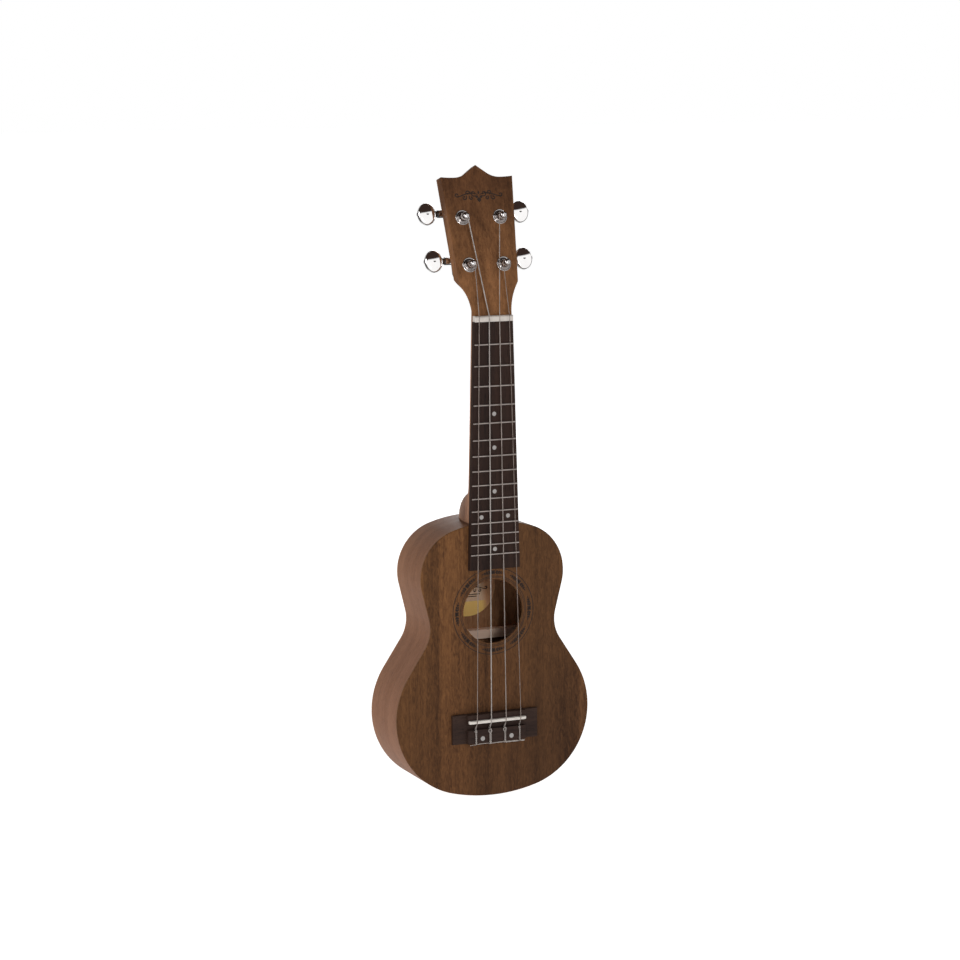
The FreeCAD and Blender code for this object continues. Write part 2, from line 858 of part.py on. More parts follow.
def make_bridge_bolts():
    """Two bolts under pearl caps, with nuts inside the body."""
    bolts = []
    caps = []
    fixings = []
    for i, side in enumerate((-1, 1)):
        across = f"{side} * dims.bolt_offset"
        outer = "dims.front_plane - dims.block_tall"
        caps.append(
            cylinder(
                f"cap_{i}",
                "dims.bolt_head_radius",
                "dims.pearl_thick",
                (across, outer, "dims.bolt_height"),
                Vector(0, 1, 0),
            )
        )
        head_level = f"{outer} + dims.pearl_thick"
        head = cylinder(
            f"bolt_head_{i}",
            "dims.bolt_head_radius",
            "dims.bolt_head_thick",
            (across, head_level, "dims.bolt_height"),
            Vector(0, 1, 0),
        )
        through = "dims.block_tall + dims.plate_thick * 2 + dims.bolt_nut_thick"
        shank_long = f"{through} - dims.pearl_thick + dims.bolt_end"
        shank = cylinder(
            f"bolt_shank_{i}",
            "dims.bolt_radius",
            shank_long,
            (across, head_level, "dims.bolt_height"),
            Vector(0, 1, 0),
        )
        bolts.append(joined(f"bolt_{i}", [head, shank]))
        prism = doc.addObject("Part::Prism", f"bolt_nut_{i}")
        prism.Polygon = 6
        bind(prism, Circumradius="dims.bolt_nut_radius", Height="dims.bolt_nut_thick")
        level = dim("front_plane") + 2 * dim("plate_thick")
        turn = Rotation(Vector(0, 0, 1), Vector(0, 1, 0))
        prism.Placement = Placement(Vector(side * dim("bolt_offset"), level, dim("bolt_height")), turn)
        fixings.append(cut(f"bolt_nut_{i}", prism, [shank]))
    group("bridge_dots", caps)
    group("bridge_bolts", bolts)
    group("bridge_nuts", fixings)


# ---------------------------------------------------------------- neck


def board_half(drop):
    """Half the fretboard's width at a distance below the nut."""
    slope = (dim("twelfth_width") - dim("nut_width")) / (dim("scale_length") / 2)
    return (dim("nut_width") + slope * drop) / 2


def fret_drop(number):
    """Distance from the nut to a fret."""
    return dim("scale_length") * (1 - 2 ** (-number / 12))


def head_placement(across=0.0, up=0.0, out=0.0):
    """The headstock's own frame: X across, Y up its face and Z out of its face."""
    start = Vector(0, dim("front_plane") - dim("board_thick") + dim("head_step"), dim("nut_height"))
    start.z += dim("nut_thick")
    frame = Placement(start, Rotation(Vector(1, 0, 0), 90 - dim("head_tilt")))
    return frame.multiply(Placement(Vector(across, up, out), Rotation()))


def half_oval(half, depth, height):
    """A closed D section in a level plane: flat under the fretboard, half an ellipse behind."""
    left = Vector(-1, 0, 0)
    right = Vector(1, 0, 0)
    round_back = Part.Arc(right, Vector(0, 1, 0), left).toShape()
    half_disc = Part.Wire([round_back, Part.LineSegment(left, right).toShape()])
    stretch = Matrix()
    stretch.scale(half, depth, 1.0)
    stretch.move(Vector(0, dim("front_plane"), height))
    return half_disc.transformGeometry(stretch)


def neck_depth(height):
    """Depth of the neck behind the fretboard, which tapers evenly from the body to the nut."""
    joint = dim("body_length")
    share = (height - joint) / (dim("nut_height") + dim("nut_thick") - joint)
    return dim("neck_depth_heel") + share * (dim("neck_depth_nut") - dim("neck_depth_heel"))


def heel_profile():
    """Rise above the body and depth of the heel: a quarter ellipse, then a hollow curve."""
    long = dim("heel_long")
    deep = dim("heel_deep")
    hollow = dim("heel_fillet")
    steepest = math.radians(HOLLOW_ANGLES[0])
    centre_depth = neck_depth(dim("body_length") + long) + hollow
    entry = centre_depth - hollow * math.cos(steepest)
    centre_rise = long * math.sqrt(1 - (entry / deep) ** 2) + hollow * math.sin(steepest)
    profile = []
    for degrees in HEEL_ANGLES:
        turn = math.radians(degrees)
        profile.append((long * math.sin(turn), deep * math.cos(turn)))
    for degrees in HOLLOW_ANGLES:
        turn = math.radians(degrees)
        profile.append((centre_rise - hollow * math.sin(turn), centre_depth - hollow * math.cos(turn)))
    return profile


def neck_shaft():
    """Heel and neck in one piece, which runs on past the nut and fades into the headstock's back."""
    top = dim("nut_height") + dim("nut_thick")
    rows = [(dim("body_length") + rise, depth) for rise, depth in heel_profile()]
    rows += [(top, neck_depth(top)), (dim("fade_height"), neck_depth(top))]
    sections = []
    for height, depth in rows:
        half = board_half(dim("nut_height") - min(height, top))
        sections.append(half_oval(half, depth, height))
    return Part.makeLoft(sections, True, True)


def face_level(height):
    """Y of the headstock's face at a height."""
    start = head_placement().Base
    return start.y + (height - start.z) * math.tan(math.radians(dim("head_tilt")))


def throat_space():
    """A flaring round space that shapes the headstock's back where it grows out of the neck."""
    sections = []
    for rise, half, deep in THROAT_SECTIONS:
        height = dim("nut_height") + dim("nut_thick") + rise
        middle = Vector(0, face_level(height), height)
        oval = Part.Ellipse(middle + Vector(half, 0, 0), middle + Vector(0, deep, 0), middle)
        sections.append(Part.Wire(oval.toShape()))
    return Part.makeLoft(sections, True, False)


def crown_edges():
    """Points of the headstock's top edge: a flank off the tip, a scoop, a slow rise to the corner."""
    slope = math.radians(dim("crown_slope"))
    radius = dim("scoop_radius")
    flank = dim("crown_flank")
    tip = (0.0, dim("head_tip"))
    foot = (flank * math.cos(slope), tip[1] - flank * math.sin(slope))
    centre = (foot[0] + radius * math.sin(slope), foot[1] + radius * math.cos(slope))
    halfway = polar(centre, radius, -math.pi / 2 - slope / 2)
    low = (centre[0], centre[1] - radius)
    corner = (dim("head_corner_half"), dim("head_corner"))
    # The rise is a tangent arc, so its middle lies a quarter of the rise up
    rise = ((low[0] + corner[0]) / 2, low[1] + (corner[1] - low[1]) / 4)
    return tip, foot, halfway, low, rise, corner


def throat_joints():
    """Centres and meeting points of the shoulder arc and the throat arc of one side."""
    corner = (dim("head_corner_half"), dim("head_corner"))
    shoulder = (dim("head_shoulder_half"), dim("head_shoulder"))
    throat_r = dim("head_throat_radius")
    round_r = dim("head_round")
    throat = (dim("head_throat_half"), -dim("head_step"))
    throat_centre = (throat[0] + throat_r, throat[1])
    # The small shoulder arc touches the straight edge and the throat arc
    lean = math.atan2(corner[0] - shoulder[0], corner[1] - shoulder[1])
    outward = (math.cos(lean), -math.sin(lean))
    along = (math.sin(lean), math.cos(lean))
    base = (shoulder[0] - outward[0] * round_r, shoulder[1] - outward[1] * round_r)
    offset = (base[0] - throat_centre[0], base[1] - throat_centre[1])
    half_b = offset[0] * along[0] + offset[1] * along[1]
    rest = offset[0] ** 2 + offset[1] ** 2 - (throat_r + round_r) ** 2
    reach = math.sqrt(half_b**2 - rest)
    slide = min(reach - half_b, -reach - half_b, key=abs)
    round_centre = (base[0] + along[0] * slide, base[1] + along[1] * slide)
    straight_end = (round_centre[0] + outward[0] * round_r, round_centre[1] + outward[1] * round_r)
    share = throat_r / math.dist(round_centre, throat_centre)
    meet = (
        throat_centre[0] + (round_centre[0] - throat_centre[0]) * share,
        throat_centre[1] + (round_centre[1] - throat_centre[1]) * share,
    )
    return straight_end, round_centre, meet, throat_centre, throat


def head_outline():
    """The outline of the headstock's face in its own frame, one side then the other."""
    tip, foot, halfway, low, rise, corner = crown_edges()
    straight_end, round_centre, meet, throat_centre, throat = throat_joints()
    bottom = (throat[0], -dim("nut_thick"))
    edges = [line(bottom, (-bottom[0], bottom[1]))]
    for hand in (1, -1):

        def side(point, hand=hand):
            return (hand * point[0], point[1])

        edges.append(line(side(tip), side(foot)))
        edges.append(arc(side(foot), side(halfway), side(low)))
        edges.append(arc(side(low), side(rise), side(corner)))
        edges.append(line(side(corner), side(straight_end)))
        edges.append(arc_about(side(round_centre), dim("head_round"), side(straight_end), side(meet)))
        edges.append(arc_about(side(throat_centre), dim("head_throat_radius"), side(meet), side(throat)))
        edges.append(line(side(throat), side(bottom)))
    return edges


def make_headstock():
    """The slab of the headstock, its back rounded off towards the neck."""
    slab = padded("headstock", "XY_Plane", head_outline(), "dims.head_thick", None, True)
    slab.Placement = head_placement()
    space = doc.addObject("Part::Feature", "throat_space")
    space.Shape = throat_space()
    rounded = common("headstock_throat", slab, space)
    split = dim("nut_height") + dim("nut_thick") + THROAT_SECTIONS[-2][0]
    side = f"-{FAR / 2}"
    upper_zone = box("head_zone", (side, side, f"{split}"), (f"{FAR}", f"{FAR}", f"{FAR}"))
    return joined("headstock_shaped", [rounded, common("headstock_upper", slab, upper_zone)])


def make_neck():
    head = make_headstock()
    shaft = doc.addObject("Part::Feature", "neck_shaft")
    shaft.Shape = neck_shaft()
    tools = dowel_bars("neck")
    # The nut sits on a flat ledge at the level of the fretboard's glue line
    tools.append(
        box(
            "nut_ledge",
            ("-dims.nut_width", f"dims.front_plane - {PAST}", f"dims.nut_height - {PAST}"),
            ("dims.nut_width * 2", f"{PAST}", f"{PAST} + dims.nut_thick"),
        )
    )
    in_front = doc.addObject("Part::Box", "face_space")
    bind(in_front, Length="dims.nut_width * 2", Width="dims.head_tip", Height=f"{PAST}")
    in_front.Placement = head_placement(-dim("nut_width"))
    tools.append(in_front)
    for number, (side, pair, _, _) in TUNERS.items():
        across = side * dim(f"{pair}_post_half")
        up = dim(f"{pair}_post_reach")
        bore = doc.addObject("Part::Cylinder", f"post_bore_{number}")
        bind(bore, Radius="dims.ferrule_radius", Height="dims.head_thick * 2")
        bore.Placement = head_placement(across, up, -3 * dim("head_thick") / 2)
        pilot = doc.addObject("Part::Cylinder", f"pilot_bore_{number}")
        bind(pilot, Radius="dims.screw_radius", Height="dims.screw_long")
        under_ear = -dim("head_thick") - dim("ear_thick")
        pilot.Placement = head_placement(across, up - dim("ear_reach"), under_ear)
        tools += [bore, pilot]
    stock = joined("neck_stock", [head, shaft])
    node("neck", cut("neck", stock, tools))
    group("neck_dowels", dowel_bars("loose"))


def make_fretboard():
    top = dim("nut_height")
    low = top - dim("board_long")
    wide_low = board_half(dim("board_long"))
    wide_top = board_half(0.0)
    corners = [(-wide_low, low), (wide_low, low), (wide_top, top), (-wide_top, top)]
    edges = closed_lines(corners)
    blank = padded("fretboard_blank", "XZ_Plane", edges, "dims.board_thick", "-dims.front_plane")
    tools = []
    for number in range(1, int(dim("fret_count")) + 1):
        tools.append(fret_tang(f"fret_slot_{number}", number))
    tools += marker_discs("marker_well")
    node("fretboard", cut("fretboard", blank, tools))


def fret_tang(name, number):
    """The thin blade under a fret's crown, and the slot it fills."""
    drop = fret_drop(number)
    half = board_half(drop) - dim("fret_inset")
    item = box(
        name,
        (
            f"-{half}",
            "dims.front_plane - dims.board_thick",
            f"dims.nut_height - {drop} - dims.tang_thick / 2",
        ),
        (f"{2 * half}", "dims.tang_deep", "dims.tang_thick"),
    )
    return item


def make_frets():
    """Fifteen fret wires, each a low crown on a tang."""
    wires = []
    for number in range(1, int(dim("fret_count")) + 1):
        drop = fret_drop(number)
        half = board_half(drop) - dim("fret_inset")
        wide = dim("fret_wide") / 2
        tall = dim("fret_tall")
        edges = [arc((-wide, 0), (0, tall), (wide, 0)), line((wide, 0), (-wide, 0))]
        crown = padded(f"crown_{number}", "YZ_Plane", edges, f"{2 * half}")
        turn = Rotation(Vector(1, 0, 0), 90)
        level = dim("front_plane") - dim("board_thick")
        crown.Placement = Placement(Vector(-half, level, dim("nut_height") - drop), turn)
        wires.append(joined(f"fret_{number}", [crown, fret_tang(f"tang_{number}", number)]))
    group("frets", wires)


def marker_discs(name):
    """Position dots half way between frets, let in flush with the fretboard."""
    discs = []
    for number, count in MARKED_FRETS.items():
        height = dim("nut_height") - (fret_drop(number) + fret_drop(number - 1)) / 2
        spots = ("0",) if count == 1 else ("-dims.dot_pair_offset", "dims.dot_pair_offset")
        for i, spot in enumerate(spots):
            start = (spot, "dims.front_plane - dims.board_thick", str(height))
            label = f"{name}_{number}_{i}"
            discs.append(cylinder(label, "dims.dot_radius", "dims.dot_thick", start, Vector(0, 1, 0)))
    return discs


def string_radius(name):
    return dim(STRINGS[name][0]) / 2


def nut_rest(name):
    """Y of a string's centre where it bears on the nut."""
    nut_top = dim("front_plane") - dim("board_thick") - dim("nut_proud")
    return nut_top + dim("nut_slot_deep") - string_radius(name)


def make_nut():
    stock = box(
        "nut_stock",
        (
            "dims.nut_inset - dims.nut_width / 2",
            "dims.front_plane - dims.board_thick - dims.nut_proud",
            "dims.nut_height",
        ),
        ("dims.nut_width - dims.nut_inset * 2", "dims.board_thick + dims.nut_proud", "dims.nut_thick"),
    )
    front = dim("front_plane") - dim("board_thick") - dim("nut_proud")
    high = dim("nut_height") + dim("nut_thick")

    def crown(edge):
        bounds = edge.BoundBox
        level = abs(bounds.YMin - front) < TOUCH and abs(bounds.YMax - front) < TOUCH
        return level and abs(bounds.ZMin - high) < TOUCH

    rounded = fillet_where("nut_crown", stock, "nut_round", crown)
    tools = []
    for name, (gauge, across, _) in STRINGS.items():
        radius = f"dims.{gauge} / 2 + dims.nut_slot_play"
        start = (str(across), str(nut_rest(name)), f"dims.nut_height - {OVER}")
        long = f"dims.nut_thick + {2 * OVER}"
        tools.append(cylinder(f"nut_slot_{name}", radius, long, start, Vector(0, 0, 1)))
    node("nut", cut("nut", rounded, tools))


# ---------------------------------------------------------------- tuners


def gear_profile(twist):
    """The toothed outline of the worm wheel, turned by an angle, as a closed wire."""
    count = int(dim("gear_teeth"))
    pitch = dim("gear_radius")
    root = pitch - dim("tooth_dedendum")
    tip = pitch + dim("tooth_addendum")
    base = dim("tooth_root_share")
    crest = dim("tooth_tip_share")
    step = 2 * math.pi / count
    corners = []
    for tooth in range(count):
        middle = math.pi / 2 + tooth * step + twist
        for radius, share in ((root, -base), (tip, -crest), (tip, crest), (root, base)):
            corners.append(Vector(*polar((0, 0), radius, middle + share * step), 0))
    return Part.makePolygon(corners + corners[:1])


def gear_shape():
    """A helical worm wheel centred on its middle plane."""
    wide = dim("gear_wide")
    lead = math.atan(dim("gear_radius") / dim("gear_teeth") / dim("worm_radius"))
    twist = wide / 2 * math.tan(lead) / dim("gear_radius")
    low = gear_profile(-twist)
    low.translate(Vector(0, 0, -wide / 2))
    high = gear_profile(twist)
    high.translate(Vector(0, 0, wide / 2))
    blank = Part.makeLoft([low, high], True, True)
    bore = Part.makeCylinder(dim("post_radius") - dim("journal_step"), 2 * wide, Vector(0, 0, -wide))
    return blank.cut(bore)


def worm_shape(side):
    """The worm along +Z: a trapezoid thread on a core that runs on into its inboard bearing."""
    pitch = 2 * math.pi * dim("gear_radius") / dim("gear_teeth")
    radius = dim("worm_radius")
    root = radius - dim("tooth_dedendum")
    tip = radius + dim("tooth_addendum")
    long = dim("worm_long") - pitch
    base = dim("tooth_root_share") * pitch
    crest = dim("tooth_tip_share") * pitch
    helix = Part.makeHelix(pitch, long, root)
    sunk = root - dim("thread_sink")
    section = [
        Vector(sunk, 0, -base),
        Vector(tip, 0, -crest),
        Vector(tip, 0, crest),
        Vector(sunk, 0, base),
    ]
    profile = Part.makePolygon(section + section[:1])
    thread = Part.Wire(helix.Edges).makePipeShell([profile], True, True)
    thread.translate(Vector(0, 0, -long / 2))
    # The thread crosses the wheel's middle line half a pitch away from a tooth
    thread.rotate(Vector(), Vector(0, 0, 1), worm_phase(long, pitch))
    inboard = dim("housing_half") - dim("worm_end_gap")
    outboard = dim("worm_long") / 2 + dim("worm_run_out")
    start = -inboard if side > 0 else -outboard
    core = Part.makeCylinder(root, inboard + outboard, Vector(0, 0, start))
    return core.fuse(thread)


def worm_phase(long, pitch):
    """Turn of the thread that leaves a gap facing the wheel's upright tooth."""
    turns_to_middle = (long / 2) / pitch
    return 90.0 - 360.0 * (turns_to_middle % 1.0)


def worm_up():
    """How far the worm's axis lies above the post's, measured up the headstock."""
    return dim("gear_radius") + dim("worm_radius")


def tuner_placement(number):
    side, pair, _, _ = TUNERS[number]
    return head_placement(side * dim(f"{pair}_post_half"), dim(f"{pair}_post_reach"), 0.0)


def along_shaft(name, side, radius, start, end):
    """A round bar on the worm's axis between two reaches outboard of the post."""
    item = doc.addObject("Part::Cylinder", name)
    item.Placement = Placement(Vector(), Rotation(Vector(0, 0, 1), Vector(side, 0, 0)))
    bind(item, Radius=radius, Height=f"{end} - ({start})")
    bind(item, Placement__Base__x=f"{side} * ({start})", Placement__Base__y=f"{WORM_UP}")
    return bind(item, Placement__Base__z="-dims.worm_depth")


def make_worm_shaft(number, side):
    name = f"worm_shaft_{number}"
    worm = doc.addObject("Part::Feature", f"{name}_worm")
    worm.Shape = worm_shape(side)
    along_x = Rotation(Vector(0, 0, 1), Vector(1, 0, 0))
    worm.Placement = Placement(Vector(0, worm_up(), -dim("worm_depth")), along_x)
    bore_end = f"dims.shaft_reach + {OVER}"
    bore = along_shaft(f"{name}_tapped", side, "dims.stud_radius", "dims.stud_reach", bore_end)
    bar_start = "dims.worm_long / 2 + dims.shaft_step"
    bar = along_shaft(f"{name}_bar", side, "dims.shaft_radius", bar_start, "dims.shaft_reach")
    collar_start = "dims.boss_reach + dims.collar_gap"
    collar = along_shaft(f"{name}_collar", side, "dims.collar_radius", collar_start, KNOB_INNER)
    item = joined(name, [cut(f"{name}_bored", bar, [bore]), collar, worm])
    item.Placement = tuner_placement(number)
    node(name, item)


def make_knob(number, side):
    """An oval button with domed faces and a bore for the shaft."""
    name = f"knob_{number}"
    centre = Vector(side * dim("knob_centre"), worm_up(), 0)
    oval = Part.Ellipse(centre, dim("knob_span") / 2, dim("knob_axial") / 2)
    oval.AngleXU = math.pi / 2
    body, sketch = sketched_body(f"{name}_blank", "XY_Plane", [oval], "-dims.worm_depth")
    pad = body.newObject("PartDesign::Pad", f"{name}_pad")
    pad.Profile = sketch
    pad.Midplane = True
    pad.setExpression("Length", "dims.knob_thick")
    blank = body
    for face, sense in (("front", 1), ("back", -1)):
        dome = doc.addObject("Part::Sphere", f"{name}_{face}_dome")
        sink = sense * (dim("knob_dome") - dim("knob_thick") / 2)
        bind(dome, Radius="dims.knob_dome")
        dome.Placement.Base = centre - Vector(0, 0, dim("worm_depth") + sink)
        blank = common(f"{name}_{face}", blank, dome)
    rounded = fillet_where(f"{name}_rounded", blank, "knob_round", lambda e: e.BoundBox.XLength > SHORT_EDGE)
    outside = f"{KNOB_OUTER} + {OVER}"
    bores = [
        along_shaft(f"{name}_bore", side, "dims.shaft_radius", f"{KNOB_INNER} - {OVER}", "dims.shaft_reach"),
        along_shaft(f"{name}_hole", side, "dims.stud_radius", "dims.stud_reach", outside),
        along_shaft(f"{name}_seat", side, "dims.stud_head_radius", STUD_SEAT, outside),
    ]
    item = cut(name, rounded, bores)
    item.Placement = tuner_placement(number)
    node(name, item)

    screw_name = f"knob_screw_{number}"
    head_end = f"{KNOB_OUTER} + dims.stud_head_proud"
    head = along_shaft(f"{screw_name}_head", side, "dims.stud_head_radius", STUD_SEAT, head_end)
    shank = along_shaft(f"{screw_name}_shank", side, "dims.stud_radius", "dims.stud_reach", KNOB_OUTER)
    screw = joined(screw_name, [head, shank])
    screw.Placement = tuner_placement(number)
    node(screw_name, screw)


def post_edges():
    """Half section of the string post, as radius and height above the headstock's face."""
    radius = dim("post_radius")
    inner = radius - dim("journal_step")
    lip = radius - dim("post_lip_inset")
    foot = -dim("worm_depth") - dim("gear_wide") / 2 - dim("post_foot")
    shoulder = -dim("worm_depth") + dim("gear_wide") / 2
    tall = dim("post_tall")
    flange = dim("flange_tall")
    land = flange + dim("post_land")
    waist_low = land + dim("post_shoulder")
    waist_middle = (dim("post_waist"), (flange + tall) / 2 - dim("post_waist_drop"))
    waist_high = tall - dim("post_cap_tall")
    round_r = dim("post_cap_round")
    cap_edge = (lip, tall - round_r)
    cap_top = (lip - round_r, tall)
    cap_middle = polar((lip - round_r, tall - round_r), round_r, math.pi / 4)
    return [
        line((0, foot), (inner, foot)),
        line((inner, foot), (inner, shoulder)),
        line((inner, shoulder), (radius, shoulder)),
        line((radius, shoulder), (radius, land)),
        line((radius, land), (lip, waist_low)),
        arc((lip, waist_low), waist_middle, (lip, waist_high)),
        line((lip, waist_high), cap_edge),
        arc(cap_edge, cap_middle, cap_top),
        line(cap_top, (0, tall)),
        line((0, tall), (0, foot)),
    ]


def make_post(number):
    name = f"post_{number}"
    body = revolved(f"{name}_turned", post_edges())
    hole = doc.addObject("Part::Cylinder", f"{name}_string_hole")
    bind(hole, Radius="dims.post_hole_radius", Height="dims.post_radius * 4")
    start = Vector(-2 * dim("post_radius"), 0, dim("post_hole_height"))
    hole.Placement = Placement(start, Rotation(Vector(0, 0, 1), Vector(1, 0, 0)))
    item = cut(name, body, [hole])
    item.Placement = tuner_placement(number)
    node(name, item)


def make_gear(number):
    middle = Placement(Vector(0, 0, -dim("worm_depth")), Rotation())
    shape_node(f"gear_{number}", gear_shape(), tuner_placement(number).multiply(middle))


def winding_radius(name):
    """Distance from the post's axis to the middle of the wound string."""
    return dim("post_waist") + string_radius(name) + dim("winding_gap")


def make_winding(number):
    """The string's turns round the post, as closed rings side by side."""
    name = TUNERS[number][2]
    turns = int(dim("winding_turns"))
    rings = []
    for turn in range(turns):
        ring = doc.addObject("Part::Torus", f"ring_{number}_{turn}")
        gauge = STRINGS[name][0]
        round_post = f"dims.post_waist + dims.winding_gap + dims.{gauge} / 2"
        bind(ring, Radius1=round_post, Radius2=f"dims.{gauge} / 2")
        lift = dim("winding_height") + (turn - (turns - 1) / 2) * (2 * string_radius(name) + TURN_GAP)
        ring.Placement = Placement(Vector(0, 0, lift), Rotation())
        rings.append(ring)
    wound = group(f"string_winding_{number}", rings)
    wound.Placement = tuner_placement(number)


def rounded_rectangle(half, low, high, corner):
    """A rectangle with round corners, as sketch edges."""
    edges = [
        line((-half + corner, low), (half - corner, low)),
        line((half, low + corner), (half, high - corner)),
        line((half - corner, high), (-half + corner, high)),
        line((-half, high - corner), (-half, low + corner)),
    ]
    corners = [
        ((half - corner, low + corner), -45),
        ((half - corner, high - corner), 45),
        ((-half + corner, high - corner), 135),
        ((-half + corner, low + corner), 225),
    ]
    for centre, degrees in corners:
        turns = [math.radians(degrees + step) for step in (-45, 0, 45)]
        edges.append(arc(*[polar(centre, corner, turn) for turn in turns]))
    return edges


def make_housing(number, side):
    """A cast box behind the headstock with a boss for the shaft and an ear for its screw."""
    name = f"tuner_housing_{number}"
    half = dim("housing_half")
    low = -dim("housing_low")
    high = dim("housing_high")
    wall = dim("housing_wall")
    corner = dim("housing_corner")
    outer = padded(
        f"{name}_outer",
        "XY_Plane",
        rounded_rectangle(half, low, high, corner),
        "dims.housing_deep",
        "-dims.head_thick",
        True,
    )
    inner = padded(
        f"{name}_inner",
        "XY_Plane",
        rounded_rectangle(half - wall, low + wall, high - wall, corner - wall),
        "dims.housing_deep",
        "-dims.head_thick - dims.housing_wall",
        True,
    )
    reach = dim("ear_reach")
    ear_r = dim("ear_radius")
    ear_start = low + OVERLAP
    ear_edges = [
        line((ear_r, ear_start), (-ear_r, ear_start)),
        line((-ear_r, ear_start), (-ear_r, -reach)),
        arc((-ear_r, -reach), (0, -reach - ear_r), (ear_r, -reach)),
        line((ear_r, -reach), (ear_r, ear_start)),
    ]
    ear = padded(f"{name}_ear", "XY_Plane", ear_edges, "dims.ear_thick", "-dims.head_thick", True)
    boss_start = "dims.housing_half - dims.housing_wall / 2"
    boss = along_shaft(f"{name}_boss", side, "dims.boss_radius", boss_start, "dims.boss_reach")
    gap = "dims.running_gap"
    bore = along_shaft(f"{name}_bore", side, f"dims.shaft_radius + {gap}", "0", f"dims.boss_reach + {OVER}")
    core_radius = f"dims.worm_radius - dims.tooth_dedendum + {gap}"
    blind = along_shaft(f"{name}_blind", side, core_radius, "dims.blind_wall - dims.housing_half", "0")
    post_hole = doc.addObject("Part::Cylinder", f"{name}_post_hole")
    bind(post_hole, Radius=f"dims.post_radius + {gap}", Height="dims.head_thick")
    bind(post_hole, Placement__Base__z="-dims.head_thick * 1.5")
    screw_hole = doc.addObject("Part::Cylinder", f"{name}_screw_hole")
    bind(screw_hole, Radius="dims.screw_radius", Height="dims.head_thick")
    bind(screw_hole, Placement__Base__y="-dims.ear_reach", Placement__Base__z="-dims.head_thick * 1.5")
    stock = joined(f"{name}_stock", [outer, boss, ear])
    item = cut(name, stock, [inner, bore, blind, post_hole, screw_hole])
    item.Placement = tuner_placement(number)
    node(name, item)


def make_tuner_trim():
    """Ferrules, back covers and mounting screws, one of each to a tuner."""
    ferrules = []
    covers = []
    screws = []
    bore = dim("post_radius") + dim("running_gap")
    sleeve = dim("ferrule_radius")
    rim = dim("flange_radius")
    tall = dim("flange_tall")
    deep = dim("sleeve_gap") - dim("head_thick")
    edge = dim("flange_edge")
    bulge = dim("flange_bulge")
    crown = ((rim + sleeve) / 2 + bulge, (edge + tall) / 2 + bulge)
    for number in TUNERS:
        place = tuner_placement(number)
        half_section = [
            line((bore, deep), (sleeve, deep)),
            line((sleeve, deep), (sleeve, 0)),
            line((sleeve, 0), (rim, 0)),
            line((rim, 0), (rim, edge)),
            arc((rim, edge), crown, (sleeve, tall)),
            line((sleeve, tall), (bore, tall)),
            line((bore, tall), (bore, deep)),
        ]
        ferrule = revolved(f"ferrule_{number}", half_section)
        ferrule.Placement = place
        ferrules.append(ferrule)

        plate_edges = rounded_rectangle(
            dim("housing_half"), -dim("housing_low"), dim("housing_high"), dim("housing_corner")
        )
        level = "-dims.head_thick - dims.housing_deep"
        plate = padded(f"cover_{number}", "XY_Plane", plate_edges, "dims.cover_thick", level, True)
        back = -dim("head_thick") - dim("housing_deep") - dim("cover_thick")

        def on_back(edge, back=back):
            bounds = edge.BoundBox
            return abs(bounds.ZMin - back) < TOUCH and abs(bounds.ZMax - back) < TOUCH

        rounded = fillet_where(f"cover_rounded_{number}", plate, "cover_round", on_back)
        rounded.Placement = place
        covers.append(rounded)

        head = doc.addObject("Part::Cylinder", f"screw_head_{number}")
        bind(head, Radius="dims.screw_head_radius", Height="dims.screw_head_thick")
        bind(head, Placement__Base__y="-dims.ear_reach")
        bind(head, Placement__Base__z="-dims.head_thick - dims.ear_thick - dims.screw_head_thick")
        shank = doc.addObject("Part::Cylinder", f"screw_shank_{number}")
        bind(shank, Radius="dims.screw_radius", Height="dims.screw_long")
        bind(shank, Placement__Base__y="-dims.ear_reach")
        bind(shank, Placement__Base__z="-dims.head_thick - dims.ear_thick")
        screw = joined(f"screw_{number}", [head, shank])
        screw.Placement = place
        screws.append(screw)
    group("tuner_ferrules", ferrules)
    group("tuner_covers", covers)
    group("tuner_mount_screws", screws)


# ---------------------------------------------------------------- strings


def bent_wire(points, radius):
    """Straight runs joined by tangent arcs of one radius, shortened where a run is short."""
    edges = []
    start = points[0]
    for i in range(1, len(points) - 1):
        before = (points[i] - points[i - 1]).normalize()
        after = (points[i + 1] - points[i]).normalize()
        turn = before.getAngle(after)
        room = BEND_SHARE * min((points[i] - points[i - 1]).Length, (points[i + 1] - points[i]).Length)
        setback = min(radius * math.tan(turn / 2), room)
        arc_radius = setback / math.tan(turn / 2)
        enter = points[i] - before * setback
        leave = points[i] + after * setback
        inward = (after - before).normalize()
        centre = points[i] + inward * (arc_radius / math.cos(turn / 2))
        middle = centre - inward * arc_radius
        edges.append(Part.LineSegment(start, enter).toShape())
        edges.append(Part.Arc(enter, middle, leave).toShape())
        start = leave
    edges.append(Part.LineSegment(start, points[-1]).toShape())
    return Part.Wire(edges)


